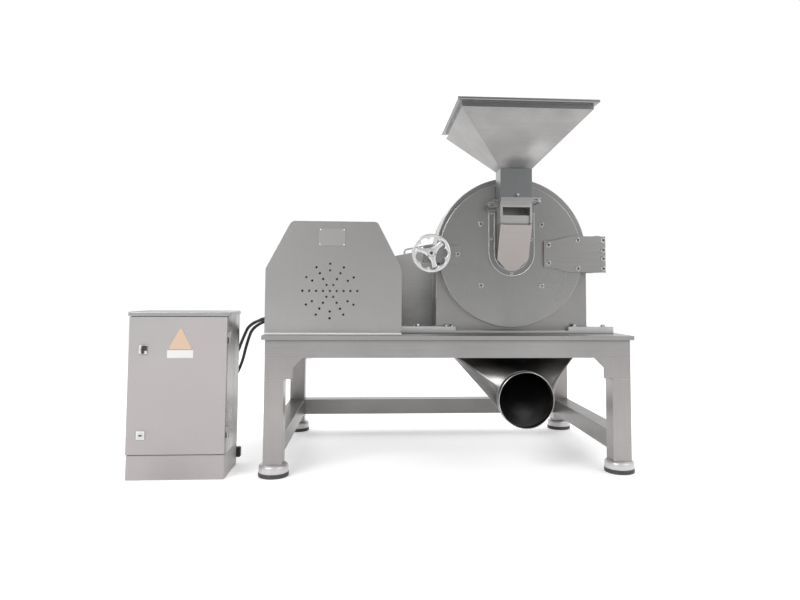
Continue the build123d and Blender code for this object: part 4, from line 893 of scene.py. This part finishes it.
# Painted highlight: above the fold the box's face is painted lighter, as bright as its sloping face below.
zoned(feed_steel, "Z", fold_z, (0.47, 0.465, 0.46))
zoned(feed_steel, "Y", flange_y - 0.0015, (0.24, 0.24, 0.24))
gate_steel = surface("gate_steel", (0.60, 0.60, 0.60), 0.30, 1.0, (5, 260, 260), 0.06, edge=0.0008)
thumb_steel = surface("thumb_steel", (0.24, 0.24, 0.24), 0.3, 1.0, (200, 200, 200), 0.1)
throat_steel = surface(
    "throat_steel", (0.52, 0.52, 0.52), 0.28, 1.0, (260, 260, 5), 0.06, 2.5, 0.7, relief=0.00006
)
zoned(throat_steel, "Z", frame_top + 0.0002, (0.29, 0.30, 0.303))
dress(feed_steel, "feed_box")
dress(gate_steel, "gate_plate")
dress(thumb_steel, "thumb_screw")
dress(throat_steel, "throat")

# The gate's front edge is folded up into a pull beside its frame
pull = bmesh.new()
slab(
    pull, (frame_right + 0.0015, throat_low.y + 0.0005, gate_low.z + 0.016),
    (gate_high.x, throat_low.y + 0.0030, frame_top), 0.0007,
)
slab(
    pull, (gate_high.x - 0.0150, throat_low.y + 0.0032, gate_low.z + 0.002),
    (gate_high.x - 0.0030, throat_low.y + 0.0150, gate_low.z + 0.015), 0.0010,
)
finished(made("gate_pull", pull, gate_steel), "gate", "stainless_brushed")


def prism(shape, outline, front, back):
    """Adds a flat plate to a shape: an outline of (x, z) points between its front and its back."""
    near = [shape.verts.new((x, front, z)) for x, z in outline]
    far = [shape.verts.new((x, back, z)) for x, z in outline]
    shape.faces.new(near)
    shape.faces.new(far[::-1])
    for index in range(len(outline)):
        after = (index + 1) % len(outline)
        shape.faces.new((near[index], near[after], far[after], far[index]))


# A chamfered bracket with two screws ties the other side of the gate's frame to the door
bracket_left, bracket_right = throat_low.x, axis_x - 0.0705
bracket_foot = 1.150
bracket_back = door_low.y - 0.0591
bracket_front = bracket_back - 0.004
bracket_outline = [
    (bracket_left, bracket_foot), (bracket_right, bracket_foot), (bracket_right, frame_top),
    (bracket_left + 0.020, frame_top), (bracket_left, frame_top - 0.018),
]
bracket = bmesh.new()
prism(bracket, bracket_outline, bracket_front, bracket_back)
bmesh.ops.bevel(bracket, geom=list(bracket.edges), offset=0.0008, segments=2, affect="EDGES")
finished(made("gate_bracket", bracket, casing_steel), "door", "stainless_brushed")
places = [
    (bracket_right - back, bracket_front, bracket_foot + z) for back, z in ((0.013, 0.021), (0.030, 0.010))
]
fixed = grown("bracket_screws", screw_tree, places, thumb_steel, Radius=0.0072, Turn=facing_front)
finished(fixed, "door", "fastener_steel")

# The hopper's sheet carries painted reflections of the bright rim and of its own darker folds and throat, a
# painted shadow under the rim and a painted highlight on its roll
hopper_steel = surface(
    "hopper_steel", (0.31, 0.302, 0.30), 0.24, 1.0, (5, 160, 160), 0.17, 3.6, 0.85,
    relief=0.00005, painted_shade=0.02,
)
hopper_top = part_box("hopper")[1].z
band_height, roll_height = 0.0365, 0.006
# A painted highlight right of the middle, painted shade left of it, and a painted reflection of the dark
# throat low in the middle
clouded(hopper_steel, (axis_x + 0.085, -0.45, 1.385), 0.07, 0.9, (0.44, 0.432, 0.428))
clouded(hopper_steel, (axis_x - 0.110, -0.44, 1.41), 0.09, 0.4, (0.22, 0.215, 0.214))
clouded(hopper_steel, (axis_x, -0.40, 1.322), 0.080, 0.9, (0.13, 0.13, 0.13))
# A painted shadow darkens the band under the rolled rim, and the roll itself is painted lighter as a
# highlight
zoned(hopper_steel, "Z", hopper_top - band_height, (0.26, 0.256, 0.256))
zoned(hopper_steel, "Z", hopper_top - roll_height, (0.42, 0.42, 0.42))
dress(hopper_steel, "hopper")

# The flange's strip has a fine weld along its outer and its inner edge
strip_top, round_z = throat_low.z - 0.004, axis_z + 0.008
beads = []
for half in (0.1025, 0.0785):
    bend = arc(axis_x, flange_y, round_z, half, math.pi, math.tau, 48)
    beads.append([(axis_x - half, flange_y, strip_top), *bend, (axis_x + half, flange_y, strip_top)])
bead_steel = surface(
    "bead_steel", (0.72, 0.72, 0.72), 0.3, 1.0, (200, 200, 200), 0.12, relief=0.0001, edge=0.0004
)
welded("flange_welds", beads, "door", bead_steel, width=0.0032)

# ---- Control cabinet
# A folded sheet cabinet on a plinth. Its door is powder-coated and carries two quarter-turn locks and
# two plain blank plates. Its sides are bare polished sheet.
leaf_low, leaf_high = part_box("cabinet_leaf")
leaf_half, lock_inset, lock_gap = 0.199, 0.059, 0.0005
cabinet_x, lock_x = leaf_low.x + leaf_half, leaf_low.x + lock_inset
upper_z, lower_z = 0.531, 0.182
cabinet_paint = surface(
    "cabinet_paint", (0.375, 0.352, 0.348), 0.38, 0.0, (300, 300, 300), 0.03, relief=0.0002
)
# Painted shade greys the door towards its top left corner; round the middle of its foot the colour is
# darker and warmer.
clouded(cabinet_paint, (leaf_low.x, leaf_low.y, leaf_high.z), 0.26, 0.7, (0.325, 0.322, 0.318))
clouded(cabinet_paint, (cabinet_x, leaf_low.y, 0.030), 0.13, 0.6, (0.315, 0.290, 0.286))
cabinet_polish = surface(
    "cabinet_polish", (0.42, 0.42, 0.415), 0.28, 1.0, (9, 9, 1.6), 0.24, 3.0, 0.25, relief=0.0004
)
roof_steel = surface(
    "roof_steel", (0.44, 0.44, 0.44), 0.30, 1.0, (5, 200, 200), 0.08, relief=0.00006, edge=0.002, painted_shade=0.01
)
gear_plastic = surface("gear_plastic", (0.12, 0.13, 0.14), 0.5, painted_shade=0.01)
dress(cabinet_paint, "cabinet_leaf", "cabinet_plinth")
dress(cabinet_polish, "cabinet_body")
dress(roof_steel, "cabinet_roof")
dress(gear_plastic, "cabinet_gear")

# Each lock is a square chromed plate with a turned rose in front of the sheet, and a barrel with its
# cam behind it. The upper one is turned by a wing, the lower one by a key.
lock_chrome = surface(
    "lock_chrome", (0.66, 0.66, 0.66), 0.28, 0.5, (200, 200, 200), 0.05,
    relief=0.0, edge=0.002, painted_shade=0.006,
)
lock_black = surface("lock_black", (0.03, 0.03, 0.03), 0.35, 0.0, (200, 200, 200), 0.1)
outward = (0, -1, 0)
rose = [(0.003, 0), (0.003, 0.0120), (0.0045, 0.0120), (0.0052, 0.0112), (0.0052, 0.0085)]
rose += [(0.0040, 0.0078), (0.0040, 0)]
barrel = [(-0.020, 0), (-0.020, 0.0100), (0, 0.0100), (0, 0)]
key_rose = [(0.0038, 0), (0.0038, 0.0035), (0.0052, 0.0035), (0.0052, 0)]


def by_lock(height, x, y, z):
    """A point beside the middle of a lock's face."""
    return (lock_x + x, leaf_low.y - lock_gap + y, height + z)


for name, node, height in (("upper_latch", "upper_lock", upper_z), ("lower_latch", "lower_lock", lower_z)):
    latch = bmesh.new()
    slab(latch, by_lock(height, -0.018, -0.003, -0.018), by_lock(height, 0.018, 0, 0.018), 0.0012, 3)
    turn(latch, rose, by_lock(height, 0, 0, 0), outward, steps=48)
    turn(latch, barrel, by_lock(height, 0, 0, 0), outward, steps=32)
    slab(latch, by_lock(height, -0.018, 0.008, -0.006), by_lock(height, 0.022, 0.011, 0.006), 0.001)
    finished(made(name, latch, lock_chrome), node, "lock_metal", node)
wing = bmesh.new()
slab(wing, by_lock(upper_z, -0.005, -0.0085, -0.0165), by_lock(upper_z, 0.005, -0.0040, 0.0165), 0.0015)
slab(wing, by_lock(upper_z, 0.004, -0.0070, -0.004), by_lock(upper_z, 0.0165, -0.0035, 0.0165), 0.0012)
finished(made("latch_wing", wing, lock_black), "upper_lock", "lock_metal")
key = bmesh.new()
slab(key, by_lock(lower_z, -0.0065, -0.0050, -0.0020), by_lock(lower_z, 0.0065, -0.0038, 0.0020), 0.0004, 1)
turn(key, key_rose, by_lock(lower_z, 0, 0, 0), outward, steps=24)
finished(made("latch_key", key, lock_black), "lower_lock", "lock_metal")

# The two blank plates are thin stuck-on sheet: a white strip and, above it, a pale amber triangle
label_low, label_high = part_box("blank_labels")
label_x = (label_low.x + label_high.x) / 2
plate_front = leaf_low.y - 0.0009
strip_half, strip_height = 0.053, 0.032
label_white = surface("label_white", (0.66, 0.65, 0.65), 0.35, 0.0, (200, 200, 200), 0.02)
label_amber = surface("label_amber", (0.58, 0.42, 0.31), 0.35, 0.0, (200, 200, 200), 0.03)
plates = bmesh.new()
slab(
    plates, (label_x - strip_half, plate_front, label_low.z),
    (label_x + strip_half, leaf_low.y, label_low.z + strip_height), 0.0003, 1,
)
finished(made("blank_plate", plates, label_white), "cabinet_door", "blank_plate", "blank_labels")
corner_r, side_half, sign_height = 0.006, 0.049, 0.090
outline = []
for x, z, start in (
    (label_x - side_half + 1.73 * corner_r, label_high.z - sign_height + corner_r, 150),
    (label_x + side_half - 1.73 * corner_r, label_high.z - sign_height + corner_r, -90),
    (label_x, label_high.z - 2.1 * corner_r, 30),
):
    bend = arc(x, 0, z, corner_r, math.radians(start), math.radians(start + 120), 8)
    outline += [(x, z) for x, _, z in bend]
sign = bmesh.new()
prism(sign, outline, plate_front, leaf_low.y)
finished(made("blank_triangle", sign, label_amber), "cabinet_door", "blank_plate")
